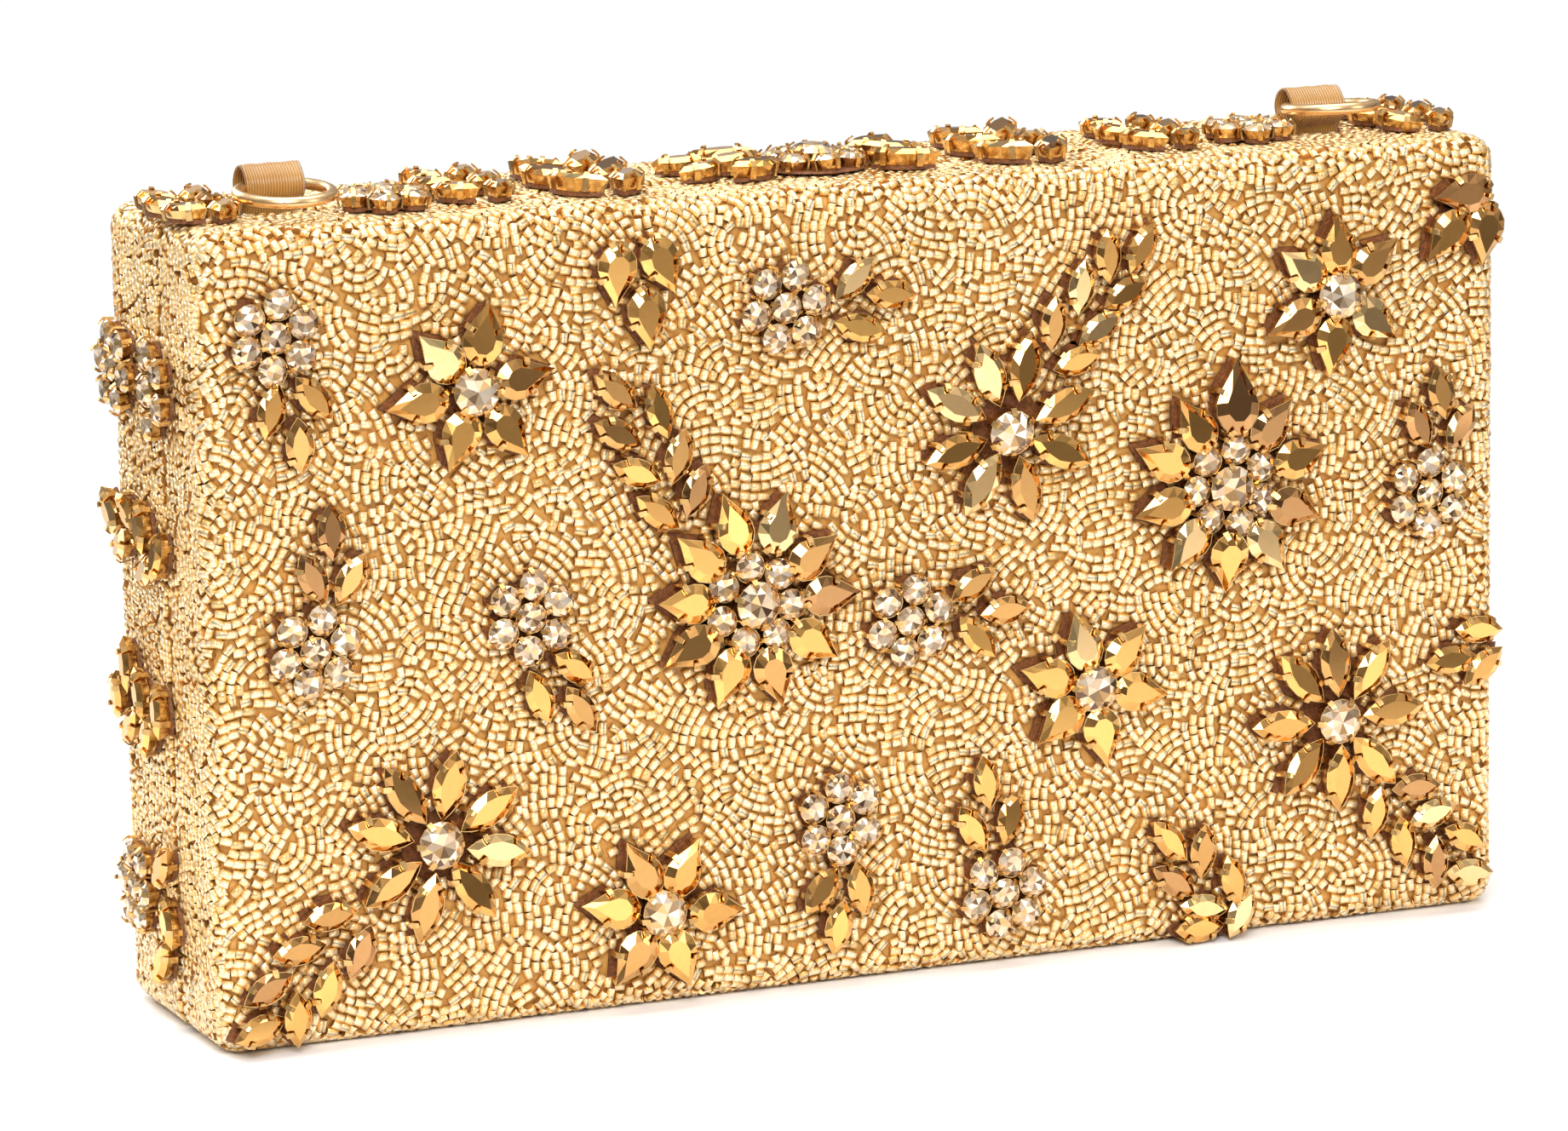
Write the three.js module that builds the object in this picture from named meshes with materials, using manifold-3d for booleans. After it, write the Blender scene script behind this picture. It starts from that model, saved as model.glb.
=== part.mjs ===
// Beaded box clutch: an evening bag made of two hard trays that close face to face on a pin hinge
// along the bottom, covered in bugle beads and claw-set stones, with two rings on ribbon loops.
// Millimetres, +Z up, front of the bag towards -Y, longest side along X, origin on the base, midway
// across the width and the depth of the closed case.
import * as THREE from "three";
import { mergeVertices } from "three/addons/utils/BufferGeometryUtils.js";
import Module from "manifold-3d";

const wasm = await Module();
wasm.setup();

// ---- driving dimensions ----
const WIDTH = 240; // outside of the beadwork, side to side
const DEPTH = 48; // front to back, closed
const HEIGHT = 138;
const EDGE_R = 4.5; // rounding of every outer edge
const SEAM_Y = -3.5; // middle of the gap between the two trays
const SEAM_GAP = 1.0;
const COVER_T = 1.6; // beaded cloth
const BOARD_T = 2.0; // stiff board
const LINING_T = 1.0; // padded satin lining
const FIT = 0.3; // gap between touching layers
const HINGE_Z = 1.5; // pin height, just inside the bottom face
const BARREL_R = 1.4;
const BORE_R = 0.7;
const PIN_R = 0.62;
const BARREL_HALF = 108; // half the barrel's length
const KNUCKLES = 9;
const RELIEF = 1.9; // how far each tray stands back from the pin along the bottom edge
const RING_R = 7.8; // ring, middle of the wire
const WIRE_R = 1.0;
const RING_Z = 142.4;
const LOOP_X = { [-1]: -99.4, [1]: 94 }; // ribbon loops, left and right
const RING_DIP = { [-1]: 4.5, [1]: -5 }; // degrees that each ring's front hangs below level
const LOOP_Y = -2.0;
const RIBBON_W = 10.3;
const RIBBON_T = 0.45;
const MAGNET_X = 58;
const MAGNET_R = 4;
const FOLD_TOP = 34; // how far a gusset's fold reaches in at its top

// ---- helpers ----
const toSolid = (geometry) => {
  const flat = geometry.index ? geometry.toNonIndexed() : geometry.clone();
  const bare = new THREE.BufferGeometry().setAttribute("position", flat.getAttribute("position"));
  const m = mergeVertices(bare, 1e-4);
  return new wasm.Manifold(
    new wasm.Mesh({
      numProp: 3,
      vertProperties: m.attributes.position.array,
      triVerts: new Uint32Array(m.index.array),
    }),
  );
};
const toGeometry = (solid) => {
  const m = solid.getMesh();
  const pos = new Float32Array(m.numVert * 3);
  for (let i = 0; i < m.numVert; i++)
    for (let k = 0; k < 3; k++) pos[3 * i + k] = m.vertProperties[m.numProp * i + k];
  const g = new THREE.BufferGeometry();
  g.setAttribute("position", new THREE.BufferAttribute(pos, 3));
  g.setIndex(new THREE.BufferAttribute(new Uint32Array(m.triVerts), 1));
  const flat = g.toNonIndexed();
  flat.computeVertexNormals();
  return flat;
};
const box = (x0, x1, y0, y1, z0, z1) => {
  const g = new THREE.BoxGeometry(x1 - x0, y1 - y0, z1 - z0);
  g.translate((x0 + x1) / 2, (y0 + y1) / 2, (z0 + z1) / 2);
  return toSolid(g);
};
// A cylinder along X or Y.
const rod = (axis, r, from, to, a, b, sides = 16) => {
  const g = new THREE.CylinderGeometry(r, r, to - from, sides);
  if (axis === "x") g.rotateZ(Math.PI / 2).translate((from + to) / 2, a, b);
  else g.translate(a, (from + to) / 2, b);
  return toSolid(g);
};
// The closed case's outline, set in by t on every side, as one rounded solid.
const caseSolid = (t) => {
  const r = Math.max(EDGE_R - t, 0.8);
  const c = r + 0.8;
  const hx = WIDTH / 2 - t;
  const z0 = t;
  const z1 = HEIGHT - t;
  const s = new THREE.Shape();
  s.moveTo(-hx + c, z0);
  s.lineTo(hx - c, z0);
  s.absarc(hx - c, z0 + c, c, -Math.PI / 2, 0);
  s.lineTo(hx, z1 - c);
  s.absarc(hx - c, z1 - c, c, 0, Math.PI / 2);
  s.lineTo(-hx + c, z1);
  s.absarc(-hx + c, z1 - c, c, Math.PI / 2, Math.PI);
  s.lineTo(-hx, z0 + c);
  s.absarc(-hx + c, z0 + c, c, Math.PI, 1.5 * Math.PI);
  const g = new THREE.ExtrudeGeometry(s, {
    depth: DEPTH - 2 * t - 2 * r,
    steps: 1,
    curveSegments: 3,
    bevelEnabled: true,
    bevelThickness: r,
    bevelSize: r,
    bevelOffset: -r,
    bevelSegments: 3,
  });
  g.rotateX(Math.PI / 2).translate(0, DEPTH / 2 - t - r, 0);
  return toSolid(g);
};

const group = new THREE.Group();
const finish = {
  cover: { color: 0xe2b766, roughness: 0.35, metalness: 0.55 },
  board: { color: 0x8d7350, roughness: 0.9, metalness: 0 },
  satin: { color: 0xc99c5c, roughness: 0.45, metalness: 0.1 },
  brass: { color: 0xcfa24c, roughness: 0.3, metalness: 1 },
  steel: { color: 0xb9b9bb, roughness: 0.3, metalness: 1 },
  ring: { color: 0xe8b878, roughness: 0.35, metalness: 1 },
  gold: { color: 0xa8742e, roughness: 0.12, metalness: 0.9 },
  crystal: { color: 0xeadfca, roughness: 0.06, metalness: 0.2 },
};
const add = (name, geometry, look) => {
  const mesh = new THREE.Mesh(geometry, new THREE.MeshStandardMaterial(finish[look]));
  mesh.name = name;
  group.add(mesh);
};

// ---- the two trays: beaded cover, board and lining, split by the seam ----
const FRONT_EDGE = SEAM_Y - SEAM_GAP / 2;
const BACK_EDGE = SEAM_Y + SEAM_GAP / 2;
const frontHalf = box(-200, 200, -100, FRONT_EDGE, -50, 200);
const backHalf = box(-200, 200, BACK_EDGE, 100, -50, 200);
const tBoard = COVER_T + FIT;
const tLining = tBoard + BOARD_T + FIT;
const tInside = tLining + LINING_T;
const layer = (outer, inner) => caseSolid(outer).subtract(caseSolid(inner));
const hingeSlot = box(-130, 130, SEAM_Y - RELIEF, SEAM_Y + RELIEF, -1, HINGE_Z + RELIEF);
const leafRecess = (side) =>
  side < 0
    ? box(-112.5, 112.5, SEAM_Y - 13, SEAM_Y, COVER_T, 3)
    : box(-112.5, 112.5, SEAM_Y, SEAM_Y + 13, COVER_T, 3);
// The ribbons pass through a notch in the back tray's rim.
const notches = [-1, 1].map((s) =>
  box(LOOP_X[s] - 5.7, LOOP_X[s] + 5.7, BACK_EDGE - 1, -0.9, 131, 140),
);
const cut = (solid, tools) => tools.reduce((s, t) => s.subtract(t), solid);

const shellCover = layer(0, COVER_T);
const shellBoard = layer(tBoard, tBoard + BOARD_T);
const shellLining = layer(tLining, tInside);

// Magnet blocks hang from the top board just inside the rim; a disc magnet sits in each one's face.
const blockTop = HEIGHT - tBoard - 1;
const blockBox = (s, side, grow) => {
  const y0 = side < 0 ? FRONT_EDGE - 6.5 - grow : BACK_EDGE - grow;
  const y1 = side < 0 ? FRONT_EDGE + grow : BACK_EDGE + 6.5 + grow;
  return box(s * MAGNET_X - 7 - grow, s * MAGNET_X + 7 + grow, y0, y1, 123.5 - grow, blockTop);
};
const magnetHole = (s, side) =>
  side < 0
    ? rod("y", MAGNET_R + 0.2, FRONT_EDGE - 2.6, FRONT_EDGE + 1, s * MAGNET_X, 128.6)
    : rod("y", MAGNET_R + 0.2, BACK_EDGE - 1, BACK_EDGE + 2.6, s * MAGNET_X, 128.6);

for (const [name, half, side] of [
  ["back", backHalf, 1],
  ["front", frontHalf, -1],
]) {
  const marks = side > 0 ? notches : [];
  add(name + "_cover", toGeometry(cut(shellCover.intersect(half), [hingeSlot, ...marks])), "cover");
  let board = shellBoard.intersect(half);
  for (const s of [-1, 1]) board = board.add(blockBox(s, side, 0).subtract(caseSolid(-5).subtract(caseSolid(tBoard))));
  board = cut(board, [hingeSlot, leafRecess(side), ...marks, magnetHole(-1, side), magnetHole(1, side)]);
  add(name + "_board", toGeometry(board), "board");
  const lining = cut(shellLining.intersect(half), [blockBox(-1, side, FIT), blockBox(1, side, FIT), ...marks]);
  add(name + "_lining", toGeometry(lining), "satin");
  for (const [tag, s] of [
    ["left", -1],
    ["right", 1],
  ]) {
    const y0 = side < 0 ? FRONT_EDGE - 2.35 : BACK_EDGE + 0.05;
    add(name + "_magnet_" + tag, toGeometry(rod("y", MAGNET_R, y0, y0 + 2.3, s * MAGNET_X, 128.6)), "steel");
  }
}

// ---- pin hinge along the bottom, its leaves let into the boards ----
const pitch = (2 * BARREL_HALF) / KNUCKLES;
const leaf = (side) => {
  const y = (d) => SEAM_Y + side * d;
  const lo = (a, b) => Math.min(y(a), y(b));
  const hi = (a, b) => Math.max(y(a), y(b));
  let s = box(-111, 111, lo(2.1, 12.5), hi(2.1, 12.5), 1.98, 2.72);
  for (let k = 0; k < KNUCKLES; k++) {
    if ((k % 2 === 0) !== side > 0) continue;
    const a = -BARREL_HALF + k * pitch + 0.2;
    const b = a + pitch - 0.4;
    s = s.add(rod("x", BARREL_R, a, b, SEAM_Y, HINGE_Z)).add(box(a, b, lo(0, 2.4), hi(0, 2.4), 1.98, 2.72));
  }
  return s.subtract(rod("x", BORE_R, -130, 130, SEAM_Y, HINGE_Z));
};
add("back_hinge_leaf", toGeometry(leaf(1)), "brass");
add("front_hinge_leaf", toGeometry(leaf(-1)), "brass");
add("hinge_pin", toGeometry(rod("x", PIN_R, -BARREL_HALF - 0.5, BARREL_HALF + 0.5, SEAM_Y, HINGE_Z)), "brass");

// ---- folded side gussets, two plies of satin that meet in a fold inside the case ----
const gusset = (side) => {
  const ply = 0.7;
  const spread = 2.1;
  const wall = WIDTH / 2 - tInside - 0.4;
  const section = (z, reach) =>
    [
      [wall, -spread],
      [wall, ply - spread],
      [wall - Math.max(reach - 1.5, 1), 0],
      [wall, spread - ply],
      [wall, spread],
      [wall - reach, ply],
      [wall - reach, -ply],
    ].map(([x, y]) => [x, SEAM_Y + y, z]);
  const low = section(10, 3);
  const high = section(118, FOLD_TOP);
  const n = low.length;
  const pts = [...low, ...high];
  const faces = [];
  for (let i = 0; i < n; i++) {
    const j = (i + 1) % n;
    faces.push([i, j, n + j], [i, n + j, n + i]);
  }
  // Each end is the two plies, fanned from the fold.
  for (const [p, q, r] of [
    [0, 1, 6],
    [1, 2, 6],
    [2, 5, 6],
    [2, 3, 5],
    [3, 4, 5],
  ])
    faces.push([p, r, q], [n + p, n + q, n + r]);
  const g = new THREE.BufferGeometry();
  g.setAttribute("position", new THREE.Float32BufferAttribute(pts.flat(), 3));
  g.setIndex(faces.flat());
  const flat = g.toNonIndexed();
  if (side < 0) flat.rotateZ(Math.PI).translate(0, 2 * SEAM_Y, 0);
  const s = toSolid(flat);
  if (s.volume() > 0) return flat;
  const p = flat.getAttribute("position");
  for (let i = 0; i < p.count; i += 3) {
    const a = new THREE.Vector3().fromBufferAttribute(p, i + 1);
    const b = new THREE.Vector3().fromBufferAttribute(p, i + 2);
    p.setXYZ(i + 1, b.x, b.y, b.z);
    p.setXYZ(i + 2, a.x, a.y, a.z);
  }
  return flat;
};
for (const [name, side] of [
  ["left_gusset", -1],
  ["right_gusset", 1],
]) {
  const g = gusset(side);
  g.computeVertexNormals();
  add(name, g, "satin");
}

// ---- slip pocket on the back tray's lining ----
const insideBack = DEPTH / 2 - tInside;
add("slip_pocket", toGeometry(box(-48, 48, insideBack - 1.2, insideBack - 0.35, 10, 82)), "satin");

// ---- ribbon loops and the rings they hold ----
for (const [tag, s] of [
  ["left", -1],
  ["right", 1],
]) {
  const x0 = LOOP_X[s] - RIBBON_W / 2;
  const outer = WIRE_R + 2.65;
  const inner = outer - RIBBON_T;
  const loop = rod("x", outer, x0, x0 + RIBBON_W, LOOP_Y, RING_Z, 32)
    .add(box(x0, x0 + RIBBON_W, LOOP_Y - 0.65, LOOP_Y + 0.65, 133, RING_Z - inner))
    .subtract(rod("x", inner, x0 - 1, x0 + RIBBON_W + 1, LOOP_Y, RING_Z, 32));
  add(tag + "_ribbon_loop", toGeometry(loop), "satin");
  const ring = new THREE.TorusGeometry(RING_R, WIRE_R, 10, 36);
  ring.translate(0, -RING_R, 0);
  ring.rotateX((RING_DIP[s] * Math.PI) / 180);
  ring.translate(LOOP_X[s], LOOP_Y, RING_Z);
  add(tag + "_ring", ring, "ring");
}

// ---- claw-set stones, grouped into sewn-on motifs ----
// Each kind of stone: half length, half width and the table's height above the beadwork.
const KINDS = {
  n: { a: 4.9, b: 2.5, table: 2.9 }, // small leaf
  N: { a: 6.2, b: 2.9, table: 3.3 }, // large leaf
  p: { a: 5.5, b: 3.5, table: 3.4 }, // pear
  P: { a: 6.8, b: 4.1, table: 3.8 }, // large pear
  c: { a: 2.65, b: 2.65, table: 2.9 }, // round
  C: { a: 4.0, b: 4.0, table: 4.1 }, // large round
};
const outline = (kind) => {
  const { a, b } = KINDS[kind];
  if (kind === "c" || kind === "C")
    return [0, 1, 2, 3, 4, 5].map((k) => [a * Math.cos((k * Math.PI) / 3), a * Math.sin((k * Math.PI) / 3)]);
  if (kind === "p" || kind === "P")
    return [[a, 0], [-0.1 * a, b], [-0.7 * a, 0.75 * b], [-a, 0], [-0.7 * a, -0.75 * b], [-0.1 * a, -b]];
  return [[a, 0], [0.4 * a, b * 0.9], [-0.4 * a, b * 0.9], [-a, 0], [-0.4 * a, -b * 0.9], [0.4 * a, -b * 0.9]];
};
const SEAT = 0.35; // gap between a motif and the beadwork under it
const stone = ([kind, u, v, angle = 0]) => {
  const { table } = KINDS[kind];
  const t = (angle * Math.PI) / 180;
  const ring = outline(kind).map(([x, y]) => [x, y]);
  const at = (k, n) =>
    ring.map(([x, y]) => [
      u + k * (x * Math.cos(t) - y * Math.sin(t)),
      v + k * (x * Math.sin(t) + y * Math.cos(t)),
      SEAT + n,
    ]);
  const layers = [at(1, 0), at(0.7, table)];
  const top = layers[layers.length - 1];
  const n = ring.length;
  const pos = [];
  const tri = (p, q, r) => pos.push(...p, ...q, ...r);
  for (let l = 0; l < layers.length - 1; l++)
    for (let i = 0; i < n; i++) {
      const j = (i + 1) % n;
      tri(layers[l][i], layers[l][j], layers[l + 1][j]);
      tri(layers[l][i], layers[l + 1][j], layers[l + 1][i]);
    }
  for (let i = 1; i < n - 1; i++) {
    tri(layers[0][0], layers[0][i + 1], layers[0][i]);
    tri(top[0], top[i], top[i + 1]);
  }
  const g = new THREE.BufferGeometry();
  g.setAttribute("position", new THREE.Float32BufferAttribute(pos, 3));
  return toSolid(g);
};
// Stones are wired to their nearest neighbour by a short bar, so a motif is one piece.
const motif = (stones) => {
  let s = stone(stones[0]);
  for (let i = 1; i < stones.length; i++) {
    s = s.add(stone(stones[i]));
    const [, u, v] = stones[i];
    let best = null;
    for (let j = 0; j < i; j++) {
      const d = Math.hypot(stones[j][1] - u, stones[j][2] - v);
      if (!best || d < best.d) best = { d, u: stones[j][1], v: stones[j][2] };
    }
    const bar = new THREE.BoxGeometry(best.d, 2, 0.9);
    bar.rotateZ(Math.atan2(best.v - v, best.u - u));
    bar.translate((u + best.u) / 2, (v + best.v) / 2, SEAT + 0.45);
    s = s.add(toSolid(bar));
  }
  return s;
};
const rosette = (u, v, turn, r = 5.5) => [
  ["c", u, v],
  ...[0, 1, 2, 3, 4, 5].map((k) => {
    const t = ((turn + 60 * k) * Math.PI) / 180;
    return ["c", u + r * Math.cos(t), v + r * Math.sin(t)];
  }),
];
const petals = (kind, u, v, list) =>
  list.map(([angle, r]) => {
    const t = (angle * Math.PI) / 180;
    return [kind, u + r * Math.cos(t), v + r * Math.sin(t), angle];
  });
const leaves = (list, kind = "n") => list.map(([u, v, angle]) => [kind, u, v, angle]);
const ringOf = (u, v, turn, r, count) =>
  Array.from({ length: count }, (_, k) => {
    const t = ((turn + (360 / count) * k) * Math.PI) / 180;
    return ["c", u + r * Math.cos(t), v + r * Math.sin(t)];
  });
const daisy = (u, v, list) => [["C", u, v], ...petals("N", u, v, list)];
const star = (u, v, list) => [["C", u, v], ...petals("p", u, v, list)];
const bloom = (u, v, turn, r, list) => [["C", u, v], ...ringOf(u, v, turn, r, 7), ...petals("p", u, v, list)];

// Front panel, (x, z).
const FRONT = [
  [...rosette(-107.5, 120.6, 22), ...leaves([[-108.6, 108.6, 75], [-101.2, 110.2, -50], [-103.7, 102.6, 95]])],
  star(-73, 108.9, [[79, 9.8], [134, 9], [187, 10.4], [249, 8.8], [307, 9.4], [11, 8.8]]),
  leaves([[-47.5, 126.4, -92], [-39.4, 127.4, -65], [-42.3, 118.6, -85]], "p"),
  [...rosette(-17, 118.6, 10), ...leaves([[-4.3, 122.6, 45], [2.2, 119.4, -5], [-3.4, 114, -15]])],
  [
    ...daisy(24.1, 94.1, [[152, 11.6], [111, 11], [77, 11.2], [20, 10.7], [-25, 10.2], [-76, 10.4], [-122, 10.3], [-165, 10.8]]),
    ...leaves([[36.9, 105.3, 15], [32.3, 112.1, 88], [41.1, 110.4, 32], [37.7, 117.9, 85], [46.2, 116.2, 28], [42.7, 122.9, 95], [49.2, 123.8, 62]]),
  ],
  [
    ...bloom(65.9, 80.7, 28, 6.6, [[121, 13.4], [155, 14.4], [192, 13.2], [229, 12.8], [268, 13], [303, 13.4], [339, 13.2], [17, 14.4], [52, 13.4]]),
    ["P", 67, 96.4, 87],
  ],
  star(87.3, 112.6, [[93, 9], [41, 9], [144, 9.3], [203, 9.8], [260, 9], [322, 8.4]]),
  leaves([[111.2, 128.6, 185], [107.9, 121.4, 230], [115.6, 121.2, 262]], "p"),
  [...rosette(104.7, 76.2, 27), ...leaves([[107.3, 93.8, 98], [102.6, 88.6, 115], [110.9, 87.4, 55]])],
  [
    ...bloom(-23.5, 68.4, -5, 6.6, [[107, 14.6], [72, 14.4], [36, 13.2], [2, 14], [-35, 12.8], [-75, 13], [-114, 13.2], [-150, 13.6], [174, 13], [138, 13.8]]),
    ...leaves([[-33.9, 88.9, 68], [-41, 85.8, -38], [-37, 95, 75], [-44.6, 92.9, -22], [-40.4, 102.8, -75], [-47.9, 99.6, -28], [-48.2, 106.9, -40]]),
  ],
  [...rosette(-102.1, 67.8, 16), ...leaves([[-98.7, 87.6, 90], [-102.2, 80.2, 115], [-95.6, 79.6, 60]])],
  [...rosette(-64, 70, 24), ...leaves([[-56.7, 61, -35], [-62.8, 56.4, -70], [-55.5, 53.6, -58]])],
  daisy(-81.3, 32.9, [[124, 10.9], [79, 10.5], [32, 10.3], [-10, 10.3], [-55, 10], [-104, 10.6], [-148, 10.3], [163, 11]]),
  leaves([[-100.9, 23.1, 6], [-95.7, 16.2, 65], [-106.5, 17.7, 6], [-101.7, 10.6, 75], [-112, 11.8, 30], [-107.2, 6.2, 90], [-113.8, 4.8, 18]]),
  star(-41.5, 17, [[117, 8.8], [62, 8.6], [-3, 9.8], [-70, 8.8], [-127, 9.4], [170, 9.8]]),
  [...rosette(-8.5, 29.6, 33), ...leaves([[-12.1, 17.4, 50], [-4.9, 17.2, 98], [-9.1, 10.8, 78]])],
  [...rosette(22.2, 13.3, 16), ...leaves([[18.9, 33.2, 98], [16.2, 25.2, -60], [23.4, 26.4, 70]])],
  [...rosette(5, 62.8, 18), ...leaves([[16.8, 68.1, 30], [22.9, 63.1, 5], [17.6, 58.8, -50]])],
  star(39.6, 47.7, [[106, 8.9], [47, 8.9], [-10, 8.8], [-81, 8.8], [-142, 8.8], [162, 9.6]]),
  daisy(86.8, 37.3, [[133, 10.9], [94, 10.4], [54, 10.6], [4, 10.7], [-48, 10.4], [-90, 10.2], [-132, 10.6], [179, 11]]),
  leaves([[102.2, 23.6, 0], [94.2, 19.9, 80], [105.5, 18.4, 15], [99.6, 14.2, 100], [111.8, 13.6, -25], [106.1, 9.6, 88], [112.8, 7, -5]]),
  leaves([[114.6, 51, -5], [109.2, 45.8, 5], [115.6, 44.2, 40]]),
  leaves([[53.8, 19, -50], [60.4, 16.6, 85], [54.6, 11.8, -35], [66, 10.6, 105], [60.4, 6.6, -10], [67.4, 4.6, 58], [59.4, 2.7, 0]]),
];
FRONT.forEach((stones, i) => {
  const g = toGeometry(motif(stones));
  g.rotateX(Math.PI / 2).translate(0, -DEPTH / 2, 0);
  const round = stones.filter(([k]) => k === "c" || k === "C").length;
  add("front_motif_" + String(i + 1).padStart(2, "0"), g, round > stones.length / 2 ? "crystal" : "gold");
});

// Sides, (y, z): the left one is mirrored to the right.
const SIDE = [
  [
    ...rosette(14.6, 111, 10),
    ...[[-3.2, 115.6], [-8.6, 113.2], [-2.4, 109.4], [-9, 107.4], [-4, 103.6]].map(([y, z]) => ["c", y, z]),
  ],
  leaves([[18.8, 85.5, 60], [13.2, 81, 140], [9, 87, 40], [2.6, 85.6, 70], [0.4, 78.6, 150], [-5.8, 82, 110]]),
  leaves([[12.6, 60.4, 75], [18, 54.4, 110], [6, 56.6, 60], [11.4, 50, 140], [-3.6, 55.4, 70], [2.6, 50, 120]]),
  [...rosette(11.4, 22.4, 5), ...leaves([[-2.6, 28.4, 130], [-5.2, 19.6, 60], [-1.4, 11.6, 120]])],
];
for (const [tag, s] of [
  ["left", -1],
  ["right", 1],
])
  SIDE.forEach((stones, i) => {
    const g = toGeometry(motif(stones.map(([k, y, z, a = 0]) => [k, s * y, z, s > 0 ? a : 180 - a])));
    g.rotateX(Math.PI / 2).rotateZ((s * Math.PI) / 2).translate((s * WIDTH) / 2, 0, 0);
    add(tag + "_motif_" + (i + 1), g, i === 0 || i === 3 ? "crystal" : "gold");
  });

// Top, (x, y).
const sprig = (u, v, kind, k = 1) =>
  leaves(
    [[-3.7, 9, 118], [3.9, 9.4, 58], [-5, 0.4, 122], [4.4, 0, 55], [-3.9, -8.4, 125], [3.6, -9.4, 62]].map(([a, b, t]) => [
      u + k * a,
      v + k * b,
      t,
    ]),
    kind,
  );
const TOP = [
  sprig(-113.4, -2.2, "n", 0.88),
  rosette(-82.2, -10, 12),
  sprig(-65.5, -1, "n"),
  sprig(-44, -2, "N", 1.15),
  [
    ["C", -1.7, -2.5],
    ...ringOf(-1.7, -2.5, 12, 6.6, 7),
    ...petals("N", -1.7, -2.5, [[180, 15.4], [152, 15.6], [208, 15.6], [0, 15.2], [28, 15.6], [-30, 15.6]]),
    ...leaves([[-24.4, 1.6, 165], [-24.2, -7.4, 200]], "n"),
  ],
  sprig(34.5, -2, "N", 1.15),
  sprig(61.8, -1, "n"),
  rosette(79.8, -6, 20),
  sprig(111.2, -1.5, "n"),
];
TOP.forEach((stones, i) => {
  const g = toGeometry(motif(stones));
  g.translate(0, 0, HEIGHT);
  add("top_motif_" + (i + 1), g, i === 1 || i === 7 || i === 4 ? "crystal" : "gold");
});

export default group;
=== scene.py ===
import math
import random

import bpy
import numpy as np
from mathutils import Matrix, Vector
from mathutils.kdtree import KDTree


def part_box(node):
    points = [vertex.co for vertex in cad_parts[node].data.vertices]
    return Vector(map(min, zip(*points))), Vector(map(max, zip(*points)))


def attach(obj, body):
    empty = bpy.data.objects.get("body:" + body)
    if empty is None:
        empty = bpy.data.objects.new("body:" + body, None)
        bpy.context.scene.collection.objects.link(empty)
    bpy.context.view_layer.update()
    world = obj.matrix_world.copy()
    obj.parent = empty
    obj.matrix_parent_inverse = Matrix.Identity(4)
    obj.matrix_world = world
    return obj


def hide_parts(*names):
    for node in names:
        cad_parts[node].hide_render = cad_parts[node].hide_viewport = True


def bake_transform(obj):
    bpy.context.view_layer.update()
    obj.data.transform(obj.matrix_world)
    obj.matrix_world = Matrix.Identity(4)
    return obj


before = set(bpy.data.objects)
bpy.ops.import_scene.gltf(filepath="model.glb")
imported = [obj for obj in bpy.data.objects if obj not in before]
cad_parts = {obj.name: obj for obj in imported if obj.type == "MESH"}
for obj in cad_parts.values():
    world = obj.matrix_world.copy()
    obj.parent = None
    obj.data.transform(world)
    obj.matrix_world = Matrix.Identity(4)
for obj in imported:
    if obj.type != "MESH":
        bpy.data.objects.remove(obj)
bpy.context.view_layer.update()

# Everything below is worked out in millimetres and written to meshes in metres.
MM = 0.001


def corners(node):
    lo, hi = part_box(node)
    return [c * 1000 for c in lo], [c * 1000 for c in hi]


front_lo, front_hi = corners("front_cover")
back_lo, back_hi = corners("back_cover")
HALF_W = back_hi[0]          # outside of the beadwork
TOP = back_hi[2]
# Where each tray's face and rim are, by side: -1 is the front and 1 the back.
FACE_Y, EDGE_Y = {-1: front_lo[1], 1: back_hi[1]}, {-1: front_hi[1], 1: back_lo[1]}
SEAM_Y = (EDGE_Y[-1] + EDGE_Y[1]) / 2
EDGE_R = 4.5                 # rounding of the case's edges
CLOTH_T = 1.1                # the gold cloth lies this far under the tops of the beads
LINING_IN = 4.3              # and the lining this far
RELIEF, RELIEF_TOP = 1.9, 3.4       # each rim stands back this far from the hinge pin, up to this height
NOTCH, NOTCH_Y, NOTCH_FOOT = 5.7, -0.9, 131     # a ribbon's notch in the back rim: half width, depth, foot
WIRE, RING_Y, RING_Z = 1.0, -2.0, 142.4         # a ring's wire, and the line it swings about in its ribbon
LOOPS = [sum(q[0] for q in corners(tag + "_ribbon_loop")) / 2 for tag in ("left", "right")]


# ---- materials
def material(name, colour=(0.8, 0.8, 0.8), **sockets):
    m = bpy.data.materials.new(name)
    m.use_nodes = True
    nt = m.node_tree
    p = nt.nodes["Principled BSDF"]
    p.inputs["Base Color"].default_value = (*colour, 1)
    for key, value in sockets.items():
        p.inputs[key.replace("_", " ")].default_value = value
    return m, nt, p


def node(nt, kind, **values):
    n = nt.nodes.new(kind)
    for key, value in values.items():
        if key in n.inputs:
            n.inputs[key].default_value = value
        else:
            setattr(n, key, value)
    return n


def ramp(nt, factor, stops):
    r = node(nt, "ShaderNodeValToRGB")
    e = r.color_ramp.elements
    while len(e) < len(stops):
        e.new(0.5)
    for el, (at, colour) in zip(e, stops):
        el.position = at
        el.color = (*colour, 1)
    nt.links.new(factor, r.inputs[0])
    return r.outputs[0]


def noise(nt, scale, detail=3, rough=0.55, coords="Object", stretch=(1, 1, 1)):
    t = node(nt, "ShaderNodeTexCoord")
    mp = node(nt, "ShaderNodeMapping")
    mp.inputs["Scale"].default_value = stretch
    nt.links.new(t.outputs[coords], mp.inputs[0])
    n = node(nt, "ShaderNodeTexNoise", Scale=scale, Detail=detail, Roughness=rough)
    nt.links.new(mp.outputs[0], n.inputs["Vector"])
    return n.outputs["Fac"]


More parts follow.
